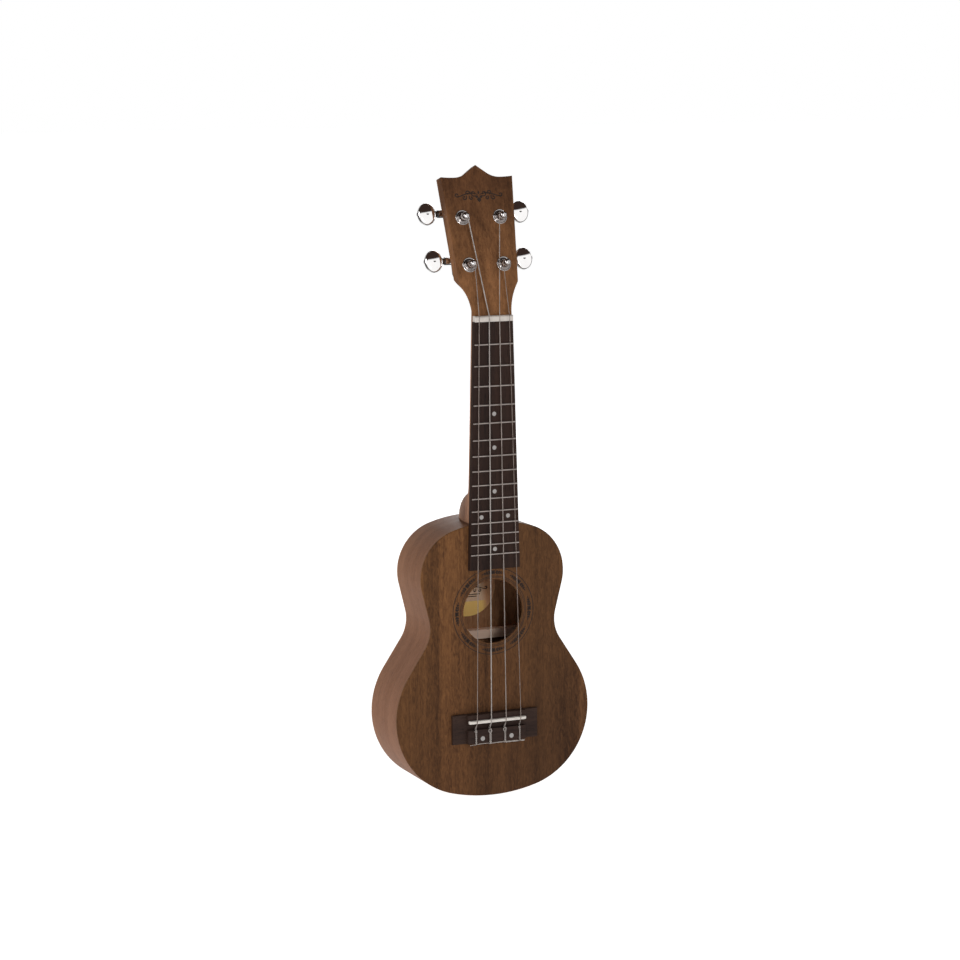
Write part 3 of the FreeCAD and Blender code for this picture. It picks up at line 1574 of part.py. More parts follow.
def string_points(name):
    """A string's route: tie hole, saddle, nut and the near side of its winding."""
    _, at_nut, at_saddle = STRINGS[name]
    radius = string_radius(name)
    front = dim("front_plane")
    hole_level = front - dim("tie_hole_lift")
    saddle_height = dim("nut_height") - dim("saddle_offset")
    crest_level = front - dim("saddle_top") - radius - dim("saddle_lift")
    number = next(key for key, value in TUNERS.items() if value[2] == name)
    side, pair, _, arrival = TUNERS[number]
    wound = winding_radius(name)
    across = side * dim(f"{pair}_post_half") + arrival * wound
    # The string stops short of its own turns, which revolve with the post
    short = math.sqrt((wound + 2 * radius + dim("winding_stop")) ** 2 - wound**2)
    up = dim(f"{pair}_post_reach") - short
    return [
        Vector(at_saddle, hole_level, dim("bridge_low") - dim("string_tail")),
        Vector(at_saddle, hole_level, dim("channel_low") + dim("string_exit")),
        Vector(at_saddle, crest_level, saddle_height - dim("saddle_break")),
        Vector(at_nut, nut_rest(name), dim("nut_height") + dim("nut_break")),
        Vector(at_nut, nut_rest(name), dim("nut_height") + dim("nut_thick") - dim("nut_break")),
        head_placement(across, up, dim("winding_height")).Base,
    ]


def make_strings():
    for name in STRINGS:
        points = string_points(name)
        wire = bent_wire(points, dim("string_bend"))
        radius = string_radius(name)
        along = points[1] - points[0]
        section = Part.Wire(Part.Circle(points[0], along, radius).toShape())
        tube = wire.makePipeShell([section], True, True)
        shape_node(name, tube)


# ---------------------------------------------------------------- assembly


def make_tuners():
    make_tuner_trim()
    for number, (side, _, _, _) in TUNERS.items():
        make_housing(number, side)
        make_worm_shaft(number, side)
        make_knob(number, side)
        make_post(number)
        make_gear(number)
        make_winding(number)


def check_document():
    """Stop if any object failed or any sub-part has no sound solid."""
    doc.recompute()
    for item in doc.Objects:
        if "Invalid" in item.State or "Error" in item.State:
            raise RuntimeError(f"{item.Name} failed: {item.State}")
    for label, item in nodes.items():
        shape = item.Shape
        if shape.isNull() or not shape.isValid() or not shape.Solids:
            raise RuntimeError(f"{label} has no valid solid")
        if shape.Volume <= 0:
            raise RuntimeError(f"{label} is inside out")


def export():
    os.makedirs("parts", exist_ok=True)
    for label, item in nodes.items():
        item.Shape.exportStep(f"parts/{label}.step")
        print(f"{label}: {len(item.Shape.Solids)} solids, {item.Shape.Volume:.1f} mm3")


make_plates()
make_sides()
make_linings()
make_braces()
make_blocks()
make_label()
make_bridge()
make_saddle()
make_bridge_bolts()
make_neck()
make_fretboard()
make_frets()
group("fret_markers", marker_discs("fret_marker"))
make_nut()
make_tuners()
make_strings()
check_document()
export()
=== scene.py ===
import json
import math

import bmesh
import bpy
from mathutils import Matrix, Quaternion, Vector


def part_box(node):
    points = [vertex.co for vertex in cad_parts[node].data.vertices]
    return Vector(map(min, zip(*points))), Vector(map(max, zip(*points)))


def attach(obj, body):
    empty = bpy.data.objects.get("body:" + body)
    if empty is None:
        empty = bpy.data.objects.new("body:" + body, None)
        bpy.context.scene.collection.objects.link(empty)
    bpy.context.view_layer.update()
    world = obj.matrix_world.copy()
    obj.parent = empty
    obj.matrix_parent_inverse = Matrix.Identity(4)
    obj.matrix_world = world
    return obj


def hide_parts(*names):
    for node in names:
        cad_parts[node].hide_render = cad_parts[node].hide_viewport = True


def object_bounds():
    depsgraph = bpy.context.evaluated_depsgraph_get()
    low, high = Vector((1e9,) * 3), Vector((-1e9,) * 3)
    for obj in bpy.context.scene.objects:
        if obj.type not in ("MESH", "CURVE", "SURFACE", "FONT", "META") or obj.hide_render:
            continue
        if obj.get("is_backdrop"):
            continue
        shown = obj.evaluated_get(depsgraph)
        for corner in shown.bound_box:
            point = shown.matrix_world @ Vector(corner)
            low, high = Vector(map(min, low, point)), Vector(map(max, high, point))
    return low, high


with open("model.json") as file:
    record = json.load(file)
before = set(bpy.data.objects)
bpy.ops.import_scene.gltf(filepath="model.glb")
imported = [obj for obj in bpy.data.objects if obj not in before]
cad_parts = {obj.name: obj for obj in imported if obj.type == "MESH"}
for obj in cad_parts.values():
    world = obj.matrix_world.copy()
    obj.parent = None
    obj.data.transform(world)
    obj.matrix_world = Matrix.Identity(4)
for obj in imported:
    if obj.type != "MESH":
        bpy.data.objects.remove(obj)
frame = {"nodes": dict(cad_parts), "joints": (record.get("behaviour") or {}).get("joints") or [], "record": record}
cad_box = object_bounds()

# A soprano ukulele. Metres, +Z up the neck, soundboard facing -Y, fourth string on the -X side.

MM = 0.001
X_AXIS, Y_AXIS, Z_AXIS = range(3)
TUNERS = (1, 2, 3, 4)
STRINGS = ("string_g", "string_c", "string_e", "string_a")
JOINTS = {joint["name"]: joint for joint in frame["joints"]}


# ---------------------------------------------------------------- places read from the frame


def corner_low(node):
    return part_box(node)[0]


def middle(node):
    low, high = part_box(node)
    return (low + high) / 2


SOUNDBOARD_Y = corner_low("soundboard").y
HOLE_UP = 161.7 * MM
HOLE_CENTRE = Vector((0.0, SOUNDBOARD_Y, HOLE_UP))
HEAD_OUT = Vector(JOINTS["post_turn_1"]["axis"]).normalized()
HEAD_UP = Vector((0.0, HEAD_OUT.z, -HEAD_OUT.y))
HEAD_BASE = Vector(JOINTS["post_turn_1"]["pos_m"])

# Distances up the headstock from its foot, in millimetres
LOWER_POST_UP = 43.9
HEAD_ORNAMENT_UP = 104.0

# Heights above the headstock's face: where a string meets its post, and the hole it goes through
WINDING_OUT = 5.2 * MM
POST_HOLE_OUT = 7.2 * MM

TIE_BLOCK_HEIGHT = 12.2 * MM
TIE_BLOCK_TOP = corner_low("bridge").z + TIE_BLOCK_HEIGHT

# Diameter of each string, and which copy of the nylon it has: darker and lighter copies of one nylon, painted
# shade and painted light
GAUGES = {
    "string_g": 0.71 * MM,
    "string_c": 0.97 * MM,
    "string_e": 0.81 * MM,
    "string_a": 0.61 * MM,
}
NYLONS = {
    "string_g": "nylon_dim",
    "string_c": "nylon_bright",
    "string_e": "nylon",
    "string_a": "nylon_dim",
}


def post_place(number):
    """The point where the axis of a string post meets the headstock's face."""
    return Vector(JOINTS[f"post_turn_{number}"]["pos_m"])


def on_head(across, up, out):
    """A point on the headstock's face, measured up from the lower pair of posts."""
    base = Vector((0.0, HEAD_BASE.y, HEAD_BASE.z))
    return base + Vector((across, 0.0, 0.0)) + HEAD_UP * up + HEAD_OUT * out


# ---------------------------------------------------------------- node materials


class Shade:
    """A Principled material and short ways to add nodes to it."""

    def __init__(self, name, **constants):
        self.material = bpy.data.materials.new(name)
        self.material.use_nodes = True
        self.tree = self.material.node_tree
        self.shader = self.tree.nodes["Principled BSDF"]
        for key, number in constants.items():
            self.shader.inputs[key.replace("_", " ")].default_value = number
        self.coordinates = self.tree.nodes.new("ShaderNodeTexCoord").outputs["Object"]

    def node(self, kind, inputs=None, **settings):
        made = self.tree.nodes.new(kind)
        for key, setting in settings.items():
            setattr(made, key, setting)
        for key, source in (inputs or {}).items():
            if isinstance(source, bpy.types.NodeSocket):
                self.tree.links.new(source, made.inputs[key])
            else:
                made.inputs[key].default_value = source
        return made

    def link(self, output, socket):
        self.tree.links.new(output, self.shader.inputs[socket])

    def stretched(self, scale):
        inputs = {"Vector": self.coordinates, "Scale": scale}
        return self.node("ShaderNodeMapping", inputs).outputs["Vector"]

    def noise(self, scale, stretch=(1, 1, 1), detail=4.0, rough=0.55, warp=0.0):
        inputs = {
            "Vector": self.stretched(stretch),
            "Scale": scale,
            "Detail": detail,
            "Roughness": rough,
            "Distortion": warp,
        }
        return self.node("ShaderNodeTexNoise", inputs).outputs["Fac"]

    def ramp(self, source, *stops):
        made = self.node("ShaderNodeValToRGB", {"Fac": source})
        elements = made.color_ramp.elements
        while len(elements) < len(stops):
            elements.new(0.5)
        for element, (place, colour) in zip(elements, stops):
            element.position = place
            element.color = (*colour, 1.0)
        return made.outputs["Color"]

    def range(self, source, low, high, to_low=0.0, to_high=1.0):
        inputs = {
            "Value": source,
            "From Min": low,
            "From Max": high,
            "To Min": to_low,
            "To Max": to_high,
        }
        return self.node("ShaderNodeMapRange", inputs).outputs["Result"]

    def math(self, operation, first, second=0.0, third=0.0):
        inputs = {0: first, 1: second, 2: third}
        return self.node("ShaderNodeMath", inputs, operation=operation).outputs["Value"]

    def mix(self, share, first, second, blend="MIX"):
        made = self.node("ShaderNodeMix", data_type="RGBA", blend_type=blend)
        for socket, source in ((0, share), (6, first), (7, second)):
            if isinstance(source, bpy.types.NodeSocket):
                self.tree.links.new(source, made.inputs[socket])
            else:
                made.inputs[socket].default_value = source
        return made.outputs[2]

    def bump(self, height, distance, strength):
        inputs = {"Height": height, "Distance": distance, "Strength": strength}
        self.link(self.node("ShaderNodeBump", inputs).outputs["Normal"], "Normal")


def grey(amount):
    return (amount, amount, amount)


def weighted(made, parts):
    """The sum of noise layers, each given with its weight, spread about one half."""
    total = 0.0
    for layer, weight in parts:
        total = made.math("MULTIPLY_ADD", layer, weight, total)
    half = sum(weight for _, weight in parts) / 2
    return total, half


# Sizes of the wood's figure, as noise scales to the metre
BAND_SCALE = 48
LINE_SCALE = 520
SPECKLE_SCALE = 430
PORE_SCALE = 1700

# How strongly fine lines show, and how dark a pore is beside the darkest wood
LINE_WEIGHT = 0.3
PORE_DARKNESS = 0.45

# How far the edges of broad stripes wander across the board
STRIPE_WANDER = 0.006


def wood(
    name, dark, light, along, rough, figure=0.5, pores=0.5, tints=(), banding=0.45, tones=()
):
    """Open-grained hardwood. along stretches each axis, short along the grain.

    tints are multipliers that fade in along an axis. tones are places across the board and how
    bright the wood is there, for boards sawn with broad stripes.
    """
    made = Shade(name, Specular_IOR_Level=0.09)
    across = tuple(min(1.0, axis * 8) for axis in along)
    bands = made.noise(BAND_SCALE, along, detail=2.0, rough=0.5, warp=0.4)
    lines = made.noise(LINE_SCALE, along, detail=5.0, rough=0.6, warp=0.15)
    speckle = made.noise(SPECKLE_SCALE, across, detail=4.0, rough=0.6, warp=1.4)
    total, half = weighted(made, ((bands, banding), (lines, LINE_WEIGHT), (speckle, figure)))
    mid = tuple((a + b) / 2 for a, b in zip(dark, light))
    spread = 0.12 + 0.1 * figure
    depth = made.range(total, half - spread, half + spread)
    colour = made.ramp(depth, (0.0, dark), (0.5, mid), (1.0, light))
    streaked = tuple(axis * 1.8 if axis < 1 else 1.0 for axis in along)
    flecks = made.noise(PORE_SCALE, streaked, detail=2.0, rough=0.5)
    pore = made.range(flecks, 0.6, 0.7)
    pore_colour = (*[c * PORE_DARKNESS for c in dark], 1.0)
    colour = made.mix(made.math("MULTIPLY", pore, pores), colour, pore_colour)
    place = made.node("ShaderNodeSeparateXYZ", {"Vector": made.coordinates})
    # Some tints are stain, and some are painted shade and painted light, as their tables say
    for axis, start, end, tint in tints:
        share = made.range(place.outputs[axis], start, end)
        colour = made.mix(share, colour, (*tint, 1.0), "MULTIPLY")
    if tones:
        wander = made.range(bands, 0.3, 0.7, -STRIPE_WANDER, STRIPE_WANDER)
        across_board = made.math("ADD", place.outputs["X"], wander)
        half_board = tones[-1][0]
        stops = [((x / half_board + 1) / 2, grey(level)) for x, level in tones]
        stripes = made.ramp(made.range(across_board, -half_board, half_board), *stops)
        colour = made.mix(1.0, colour, stripes, "MULTIPLY")
    made.link(colour, "Base Color")
    made.link(made.range(lines, 0.3, 0.7, rough - 0.05, rough + 0.08), "Roughness")
    height = made.math("SUBTRACT", made.math("MULTIPLY", lines, 0.35), pore)
    made.bump(height, distance=0.00007, strength=0.6)
    return made.material


# Stretches of the figure for the way the grain runs
UPRIGHT = (1.0, 1.0, 0.035)
ROUND_THE_SIDE = (0.05, 1.0, 0.05)
ACROSS = (0.035, 1.0, 1.0)


def metal(name, colour, rough, brushed=(1, 1, 1), streak=0.04):
    """Polished or brushed metal with faint smears and handling marks."""
    made = Shade(name, Metallic=1.0)
    fine = made.noise(900, brushed, detail=5.0, rough=0.6)
    smear = made.noise(70, detail=3.0, rough=0.5, warp=0.4)
    dulled = tuple(c * 0.9 for c in colour)
    made.link(made.ramp(smear, (0.3, dulled), (0.75, colour)), "Base Color")
    blurred = made.range(fine, 0.35, 0.7, rough, rough + streak)
    smeared = made.range(smear, 0.45, 0.8, 0.0, streak)
    made.link(made.math("ADD", blurred, smeared), "Roughness")
    made.bump(fine, distance=0.000004, strength=0.4)
    return made.material


def plastic(name, low, high, rough):
    """A smooth moulded or cut stock with slight cloudiness and fine polishing marks."""
    made = Shade(name)
    cloud = made.noise(160, detail=3.0, rough=0.5, warp=0.5)
    marks = made.noise(2400, (0.1, 1, 1), detail=2.0, rough=0.5)
    made.link(made.ramp(cloud, (0.3, low), (0.7, high)), "Base Color")
    made.link(made.range(marks, 0.3, 0.7, rough - 0.04, rough + 0.06), "Roughness")
    made.bump(marks, distance=0.000006, strength=0.5)
    return made.material


def pearl():
    """Mother of pearl: swirls of grey and pink under a clear coat."""
    made = Shade("mother_of_pearl", Specular_IOR_Level=0.6, Coat_Weight=0.6, Coat_Roughness=0.12)
    swirl = made.noise(650, (1, 1, 0.5), detail=3.0, rough=0.6, warp=2.5)
    colour = made.ramp(
        swirl,
        (0.3, (0.22, 0.19, 0.175)),
        (0.45, (0.34, 0.30, 0.28)),
        (0.6, (0.29, 0.29, 0.28)),
        (0.75, (0.46, 0.42, 0.39)),
    )
    made.link(colour, "Base Color")
    made.link(made.range(swirl, 0.3, 0.7, 0.14, 0.3), "Roughness")
    return made.material


def nylon(name, dull, clear):
    """Slightly see-through string, cloudier in places along its length."""
    made = Shade(name, IOR=1.53, Transmission_Weight=0.2, Specular_IOR_Level=0.3)
    cloud = made.noise(300, (1, 1, 0.2), detail=2.0, rough=0.5)
    made.link(made.ramp(cloud, (0.3, dull), (0.7, clear)), "Base Color")
    made.link(made.range(cloud, 0.3, 0.7, 0.2, 0.34), "Roughness")
    return made.material


def burnt():
    """Line work burnt into the wood: matt, near black, browner where it is shallow."""
    made = Shade("burnt_line", Specular_IOR_Level=0.15)
    depth = made.noise(900, detail=4.0, rough=0.6)
    charred = (0.018, 0.012, 0.010)
    scorched = (0.046, 0.028, 0.020)
    made.link(made.ramp(depth, (0.35, charred), (0.75, scorched)), "Base Color")
    made.link(made.range(depth, 0.3, 0.7, 0.6, 0.8), "Roughness")
    made.bump(depth, distance=0.00003, strength=0.6)
    return made.material


def ink():
    """Black print, thinner in patches."""
    made = Shade("printing_ink", Specular_IOR_Level=0.2)
    patches = made.noise(1200, detail=3.0, rough=0.6)
    full = (0.010, 0.008, 0.007)
    thin = (0.05, 0.035, 0.025)
    made.link(made.ramp(patches, (0.35, full), (0.8, thin)), "Base Color")
    made.link(made.range(patches, 0.3, 0.7, 0.6, 0.8), "Roughness")
    return made.material


# Where the label changes, from its middle: the field's upper edge, and the painted shade's edge
FIELD_EDGE = (-0.0125, -0.0119)
PAINTED_SHADE_EDGE = (0.0115, 0.0165)
PAINTED_SHADE_SLANT = 0.1


def paper():
    """A round paper label: cream above, a plain ochre field below, and brown painted shade on the treble side."""
    made = Shade("label_print", Specular_IOR_Level=0.2)
    fibre = made.noise(1400, detail=4.0, rough=0.6)
    centre = middle("label")
    place = made.node("ShaderNodeSeparateXYZ", {"Vector": made.coordinates})
    across = made.math("SUBTRACT", place.outputs["X"], centre.x)
    up = made.math("SUBTRACT", place.outputs["Z"], centre.z)
    field = made.range(up, *FIELD_EDGE)
    cream = made.ramp(fibre, (0.3, (0.58, 0.38, 0.25)), (0.7, (0.68, 0.46, 0.31)))
    ochre = made.ramp(fibre, (0.3, (0.78, 0.49, 0.15)), (0.7, (0.86, 0.55, 0.18)))
    colour = made.mix(field, ochre, cream)
    # Brown painted shade on the treble side, where the light through the hole falls off
    slanted = made.math("MULTIPLY_ADD", up, PAINTED_SHADE_SLANT, across)
    painted_shade = made.range(slanted, *PAINTED_SHADE_EDGE)
    colour = made.mix(painted_shade, colour, (0.50, 0.25, 0.13, 1.0))
    made.link(colour, "Base Color")
    made.link(made.range(fibre, 0.3, 0.7, 0.75, 0.9), "Roughness")
    made.bump(fibre, distance=0.00001, strength=0.5)
    return made.material


def raw_wood():
    """Unfinished pale softwood used inside the body."""
    made = Shade("raw_softwood", Specular_IOR_Level=0.15)
    rings = made.noise(260, (0.04, 1.0, 1.0), detail=4.0, rough=0.6, warp=0.2)
    made.link(made.ramp(rings, (0.3, (0.80, 0.54, 0.41)), (0.7, (0.94, 0.70, 0.55))), "Base Color")
    made.link(made.range(rings, 0.3, 0.7, 0.62, 0.75), "Roughness")
    made.bump(rings, distance=0.00005, strength=0.6)
    return made.material


# Places across the soundboard and how bright the wood is there
SOUNDBOARD_STRIPES = (
    (-0.09, 0.76),
    (-0.058, 0.83),
    (-0.046, 1.10),
    (-0.030, 1.06),
    (-0.019, 0.82),
    (0.020, 0.87),
    (0.045, 0.73),
    (0.065, 0.90),
    (0.09, 1.38),
)

# Faded multipliers: the axis, where the tint begins, where it is full, and its colour
TOP_TINTS = (
    # Darker towards the treble side: painted shade, where the light falls off across the board
    (X_AXIS, -0.035, 0.06, (0.66, 0.67, 0.72)),
    (Z_AXIS, 0.16, 0.02, (0.76, 0.75, 0.78)),
    # Lighter and greyer on the faces behind the front, the hole's wall and the inside: painted light inside the
    # body
    (Y_AXIS, SOUNDBOARD_Y + 0.0006, SOUNDBOARD_Y + 0.0008, (1.5, 1.75, 2.3)),
)
SIDE_TINTS = ((Z_AXIS, 0.17, 0.09, (1.10, 1.10, 1.13)),)
NECK_TINTS = (
    (Z_AXIS, 0.385, 0.4155, (0.66, 0.56, 0.37)),
    (Z_AXIS, 0.470, 0.525, (0.55, 0.52, 0.54)),
    (X_AXIS, 0.0, 0.034, (0.80, 0.80, 0.80)),
)


def make_woods():
    """Woods by the names they are used under. Colours are the darkest and the lightest wood."""
    return {
        "soundboard_wood": wood(
            "soundboard_mahogany",
            dark=(0.064, 0.0255, 0.0095),
            light=(0.210, 0.091, 0.0325),
            along=UPRIGHT,
            rough=0.5,
            figure=0.6,
            pores=0.45,
            tints=TOP_TINTS,
            banding=0.5,
            tones=SOUNDBOARD_STRIPES,
        ),
        "body_wood": wood(
            "side_mahogany",
            dark=(0.166, 0.077, 0.043),
            light=(0.282, 0.142, 0.083),
            along=ROUND_THE_SIDE,
            rough=0.45,
            figure=0.3,
            tints=SIDE_TINTS,
        ),
        "back": wood(
            "back_mahogany",
            dark=(0.185, 0.085, 0.040),
            light=(0.400, 0.200, 0.100),
            along=UPRIGHT,
            rough=0.45,
            figure=0.4,
        ),
        "neck_wood": wood(
            "neck_mahogany",
            dark=(0.134, 0.064, 0.038),
            light=(0.430, 0.225, 0.135),
            along=UPRIGHT,
            rough=0.45,
            figure=0.3,
            tints=NECK_TINTS,
            banding=0.6,
        ),
        "dark_wood": wood(
            "rosewood",
            dark=(0.0112, 0.0060, 0.0050),
            light=(0.0360, 0.0182, 0.0130),
            along=UPRIGHT,
            rough=0.5,
            figure=0.25,
            pores=0.8,
        ),
        "bridge": wood(
            "bridge_rosewood",
            dark=(0.019, 0.0106, 0.0086),
            light=(0.050, 0.0276, 0.0203),
            along=ACROSS,
            rough=0.5,
            figure=0.25,
            pores=0.8,
        ),
        "inner_wood": raw_wood(),
    }


def make_metals():
    """Metals by the names they are used under."""
    drawn = (0.05, 1, 1)
    turned = (1, 0.05, 0.05)
    return {
        "fret_wire": metal("nickel_silver", (0.38, 0.33, 0.305), 0.28, drawn, streak=0.1),
        "tuner_chrome": metal("bright_chrome", (0.97, 0.95, 0.94), 0.03, streak=0.02),
        # Chrome darkened most: painted shade
        "dark_chrome": metal("shaded_chrome", (0.30, 0.27, 0.26), 0.06, streak=0.03),
        # Darker and cooler chrome for the worm shafts: painted shade, so they show grey instead of the wood they
        # reflect
        "shaft_chrome": metal("painted_shade_shaft_chrome", (0.22, 0.25, 0.28), 0.06, streak=0.03),
        # Darker chrome for the posts and the bushing flanges: painted shade
        "post_chrome": metal("painted_shade_post_chrome", (0.52, 0.49, 0.48), 0.07, streak=0.03),
        "gear_steel": metal("turned_steel", (0.55, 0.53, 0.53), 0.2, turned, streak=0.1),
        "gear_brass": metal("cut_brass", (0.72, 0.52, 0.22), 0.25),
        "screw_steel": metal("plated_steel", (0.66, 0.65, 0.65), 0.15),
    }


def make_materials():
    """Every material, by the slot or the look it serves."""
    made = make_woods()
    made["label_paper"] = paper()
    made["bone"] = plastic("synthetic_bone", (0.48, 0.43, 0.39), (0.62, 0.56, 0.51), 0.4)
    made["saddle"] = plastic("white_saddle", (0.60, 0.55, 0.50), (0.74, 0.69, 0.63), 0.34)
    made["pearl"] = pearl()
    made.update(make_metals())
    made["nylon"] = nylon("clear_nylon", (0.25, 0.205, 0.18), (0.36, 0.30, 0.27))
    # A darker and a lighter copy of the same nylon: painted shade and painted light
    made["nylon_dim"] = nylon("painted_shade_nylon", (0.19, 0.145, 0.125), (0.28, 0.22, 0.19))
    made["nylon_bright"] = nylon("painted_light_nylon", (0.31, 0.27, 0.245), (0.45, 0.40, 0.37))
    made["burnt"] = burnt()
    made["ink"] = ink()
    return made


MATERIALS = make_materials()


def dress(item, material):
    """Give a piece one material in its only slot."""
    item.data.materials.clear()
    item.data.materials.append(material)


def dress_nodes():
    """Give every CAD node its slot's material, or a special one."""
    slots = {entry["node"]: entry["material_slot"] for entry in frame["record"]["subparts"]}
    special = {"back_plate": "back", "bridge": "bridge", "saddle": "saddle"}
    # Worm shafts and posts get chrome darkened as painted shade
    special.update({f"worm_shaft_{number}": "shaft_chrome" for number in TUNERS})
    special.update({f"post_{number}": "post_chrome" for number in TUNERS})
    special.update(NYLONS)
    for name, item in frame["nodes"].items():
        dress(item, MATERIALS[special.get(name, slots[name])])


# ---------------------------------------------------------------- making pieces


def new_mesh(name, shape, material, body, smooth=True, sharp=None):
    """Turn a bmesh into a piece that rides on a body.

    sharp is the angle in degrees past which edges stay crisp.
    """
    mesh = bpy.data.meshes.new(name)
    bmesh.ops.recalc_face_normals(shape, faces=shape.faces)
    shape.to_mesh(mesh)
    shape.free()
    item = bpy.data.objects.new(name, mesh)
    bpy.context.scene.collection.objects.link(item)
    mesh.shade_smooth() if smooth else mesh.shade_flat()
    if sharp is not None:
        mesh.set_sharp_from_angle(angle=math.radians(sharp))
    mesh.materials.append(material)
    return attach(item, body)


def tube_rings(shape, path, radius, sides):
    """Rings of vertices carried along a path with as little twist as possible."""
    last = len(path) - 1
    tangents = []
    for i in range(len(path)):
        before = path[max(i - 1, 0)]
        after = path[min(i + 1, last)]
        tangents.append((after - before).normalized())
    normal = tangents[0].orthogonal().normalized()
    rings = []
    for middle_point, tangent in zip(path, tangents):
        normal = (normal - tangent * normal.dot(tangent)).normalized()
        other = tangent.cross(normal)
        ring = []
        for step in range(sides):
            angle = 2 * math.pi * step / sides
            offset = normal * math.cos(angle) + other * math.sin(angle)
            ring.append(shape.verts.new(middle_point + offset * radius))
        rings.append(ring)
    return rings


def add_tube(shape, path, radius, sides=12):
    """A closed tube along a path, with flat ends."""
    rings = tube_rings(shape, path, radius, sides)
    for first, second in zip(rings, rings[1:]):
        for i in range(sides):
            j = (i + 1) % sides
            shape.faces.new((first[i], first[j], second[j], second[i]))
    shape.faces.new(list(reversed(rings[0])))
    shape.faces.new(rings[-1])


def smooth_path(points, steps):
    """Catmull-Rom points through the given ones."""
    padded = [points[0] * 2 - points[1], *points, points[-1] * 2 - points[-2]]
    path = []
    for i in range(1, len(padded) - 2):
        a, b, c, d = padded[i - 1 : i + 3]
        for step in range(steps):
            t = step / steps
            slope = (c - a) * t
            bend = (2 * a - 5 * b + 4 * c - d) * t**2
            sway = (3 * b - a - 3 * c + d) * t**3
            path.append(0.5 * ((2 * b) + slope + bend + sway))
    path.append(points[-1])
    return path


# ---------------------------------------------------------------- line work


LINE_PROUD = 0.00005


def add_stroke(shape, points, widths, place, closed=False):
    """A flat ribbon with a rectangular section along points of a surface.

    place maps (across, up, out) to a point in space.
    """
    count = len(points)
    section = ((1, LINE_PROUD), (-1, LINE_PROUD), (-1, -LINE_PROUD), (1, -LINE_PROUD))
    stations = []
    for i, point in enumerate(points):
        before = points[i - 1] if closed or i else point
        after = points[(i + 1) % count] if closed or i < count - 1 else point
        run = (Vector(after) - Vector(before)).normalized()
        side = Vector((-run.y, run.x)) * (widths[i] / 2)
        corners = []
        for sign, out in section:
            spot = place(point[0] + sign * side.x, point[1] + sign * side.y, out)
            corners.append(shape.verts.new(spot))
        stations.append(corners)
    pairs = list(zip(stations, stations[1:]))
    if closed:
        pairs.append((stations[-1], stations[0]))
    for first, second in pairs:
        for k in range(len(section)):
            j = (k + 1) % len(section)
            shape.faces.new((first[k], first[j], second[j], second[k]))
    if not closed:
        shape.faces.new(stations[0][::-1])
        shape.faces.new(stations[-1])


LEAF_STEPS = 8
LEAF_TIP = 0.04  # the share of its width that a leaf keeps at its ends


def add_leaf(shape, start, heading, length, width, place, curl=0.0):
    """A pointed leaf that sets out from a point along a heading and curls."""
    points = []
    widths = []
    spot = Vector(start)
    for i in range(LEAF_STEPS + 1):
        share = i / LEAF_STEPS
        points.append(tuple(spot))
        widths.append(width * max(LEAF_TIP, math.sin(math.pi * share**0.8)))
        angle = heading + curl * share
        spot = spot + Vector((math.cos(angle), math.sin(angle))) * (length / LEAF_STEPS)
    add_stroke(shape, points, widths, place)


SCROLL_STEPS = 26
SCROLL_TIGHTEN = 0.75  # how much of its radius a scroll has lost at its end


def add_spiral(shape, centre, radius, start, sweep, width, place):
    """A scroll that winds inwards and ends in a round bead."""
    points = []
    widths = []
    for i in range(SCROLL_STEPS + 1):
        share = i / SCROLL_STEPS
        reach = radius * (1 - SCROLL_TIGHTEN * share)
        angle = start + sweep * share
        points.append((centre[0] + reach * math.cos(angle), centre[1] + reach * math.sin(angle)))
        widths.append(width * (0.35 + 0.65 * math.sin(math.pi * min(1.0, share + 0.15))))
    add_stroke(shape, points, widths, place)
    end = points[-1]
    bead = (end[0] - width * 0.7, end[1])
    add_leaf(shape, bead, 0.0, width * 1.4, width * 1.5, place)


CIRCLE_STEPS = 128


def add_circle(shape, radius, width, place):
    turns = [2 * math.pi * i / CIRCLE_STEPS for i in range(CIRCLE_STEPS)]
    points = [(radius * math.cos(turn), radius * math.sin(turn)) for turn in turns]
    add_stroke(shape, points, [width] * CIRCLE_STEPS, place, closed=True)


# Place, radius, first direction and sweep of the scrolls on one side of the ornament
FLOURISH_SCROLLS = (
    (4.8, 1.5, 2.9, -2.2, 5.6),
    (10.8, 1.7, 2.6, 3.6, -5.4),
    (14.2, -2.2, 2.6, 2.4, 5.4),
    (7.4, -2.6, 2.1, 1.0, -5.2),
    (21.2, 0.4, 2.3, -2.6, 5.2),
    (2.4, -1.4, 1.3, 2.6, 4.6),
)
FLOURISH_UNITS = 23  # the ornament's half width in the units of its scrolls
SCROLL_WIDTH = 1.15
STEM_STEPS = 20


def add_flourish(shape, half, place):
    """A symmetrical scroll ornament with a small drop below its middle."""
    unit = half / FLOURISH_UNITS
    for hand in (-1, 1):

        def side(across, up, out, hand=hand):
            return place(hand * across, up, out)

        along = [half * (0.04 + 0.9 * i / STEM_STEPS) for i in range(STEM_STEPS + 1)]
        sweep = [(x, 1.7 * unit * math.sin(x / half * math.pi * 1.5)) for x in along]
        swell = [math.sin(math.pi * i / STEM_STEPS) for i in range(STEM_STEPS + 1)]
        widths = [unit * (0.6 + 0.5 * share) for share in swell]
        add_stroke(shape, sweep, widths, side)
        for across, up, radius, start, turn in FLOURISH_SCROLLS:
            centre = (across * unit, up * unit)
            add_spiral(shape, centre, radius * unit, start, turn, SCROLL_WIDTH * unit, side)
    add_leaf(shape, (0.0, -2.2 * unit), -math.pi / 2, 4.6 * unit, 4.0 * unit, place)
    add_leaf(shape, (0.0, 0.6 * unit), math.pi / 2, 3.2 * unit, 1.8 * unit, place)


def on_soundboard(across, up, out):
    """A point on the soundboard's face, measured from the middle of the sound hole."""
    return HOLE_CENTRE + Vector((across, -out, up))


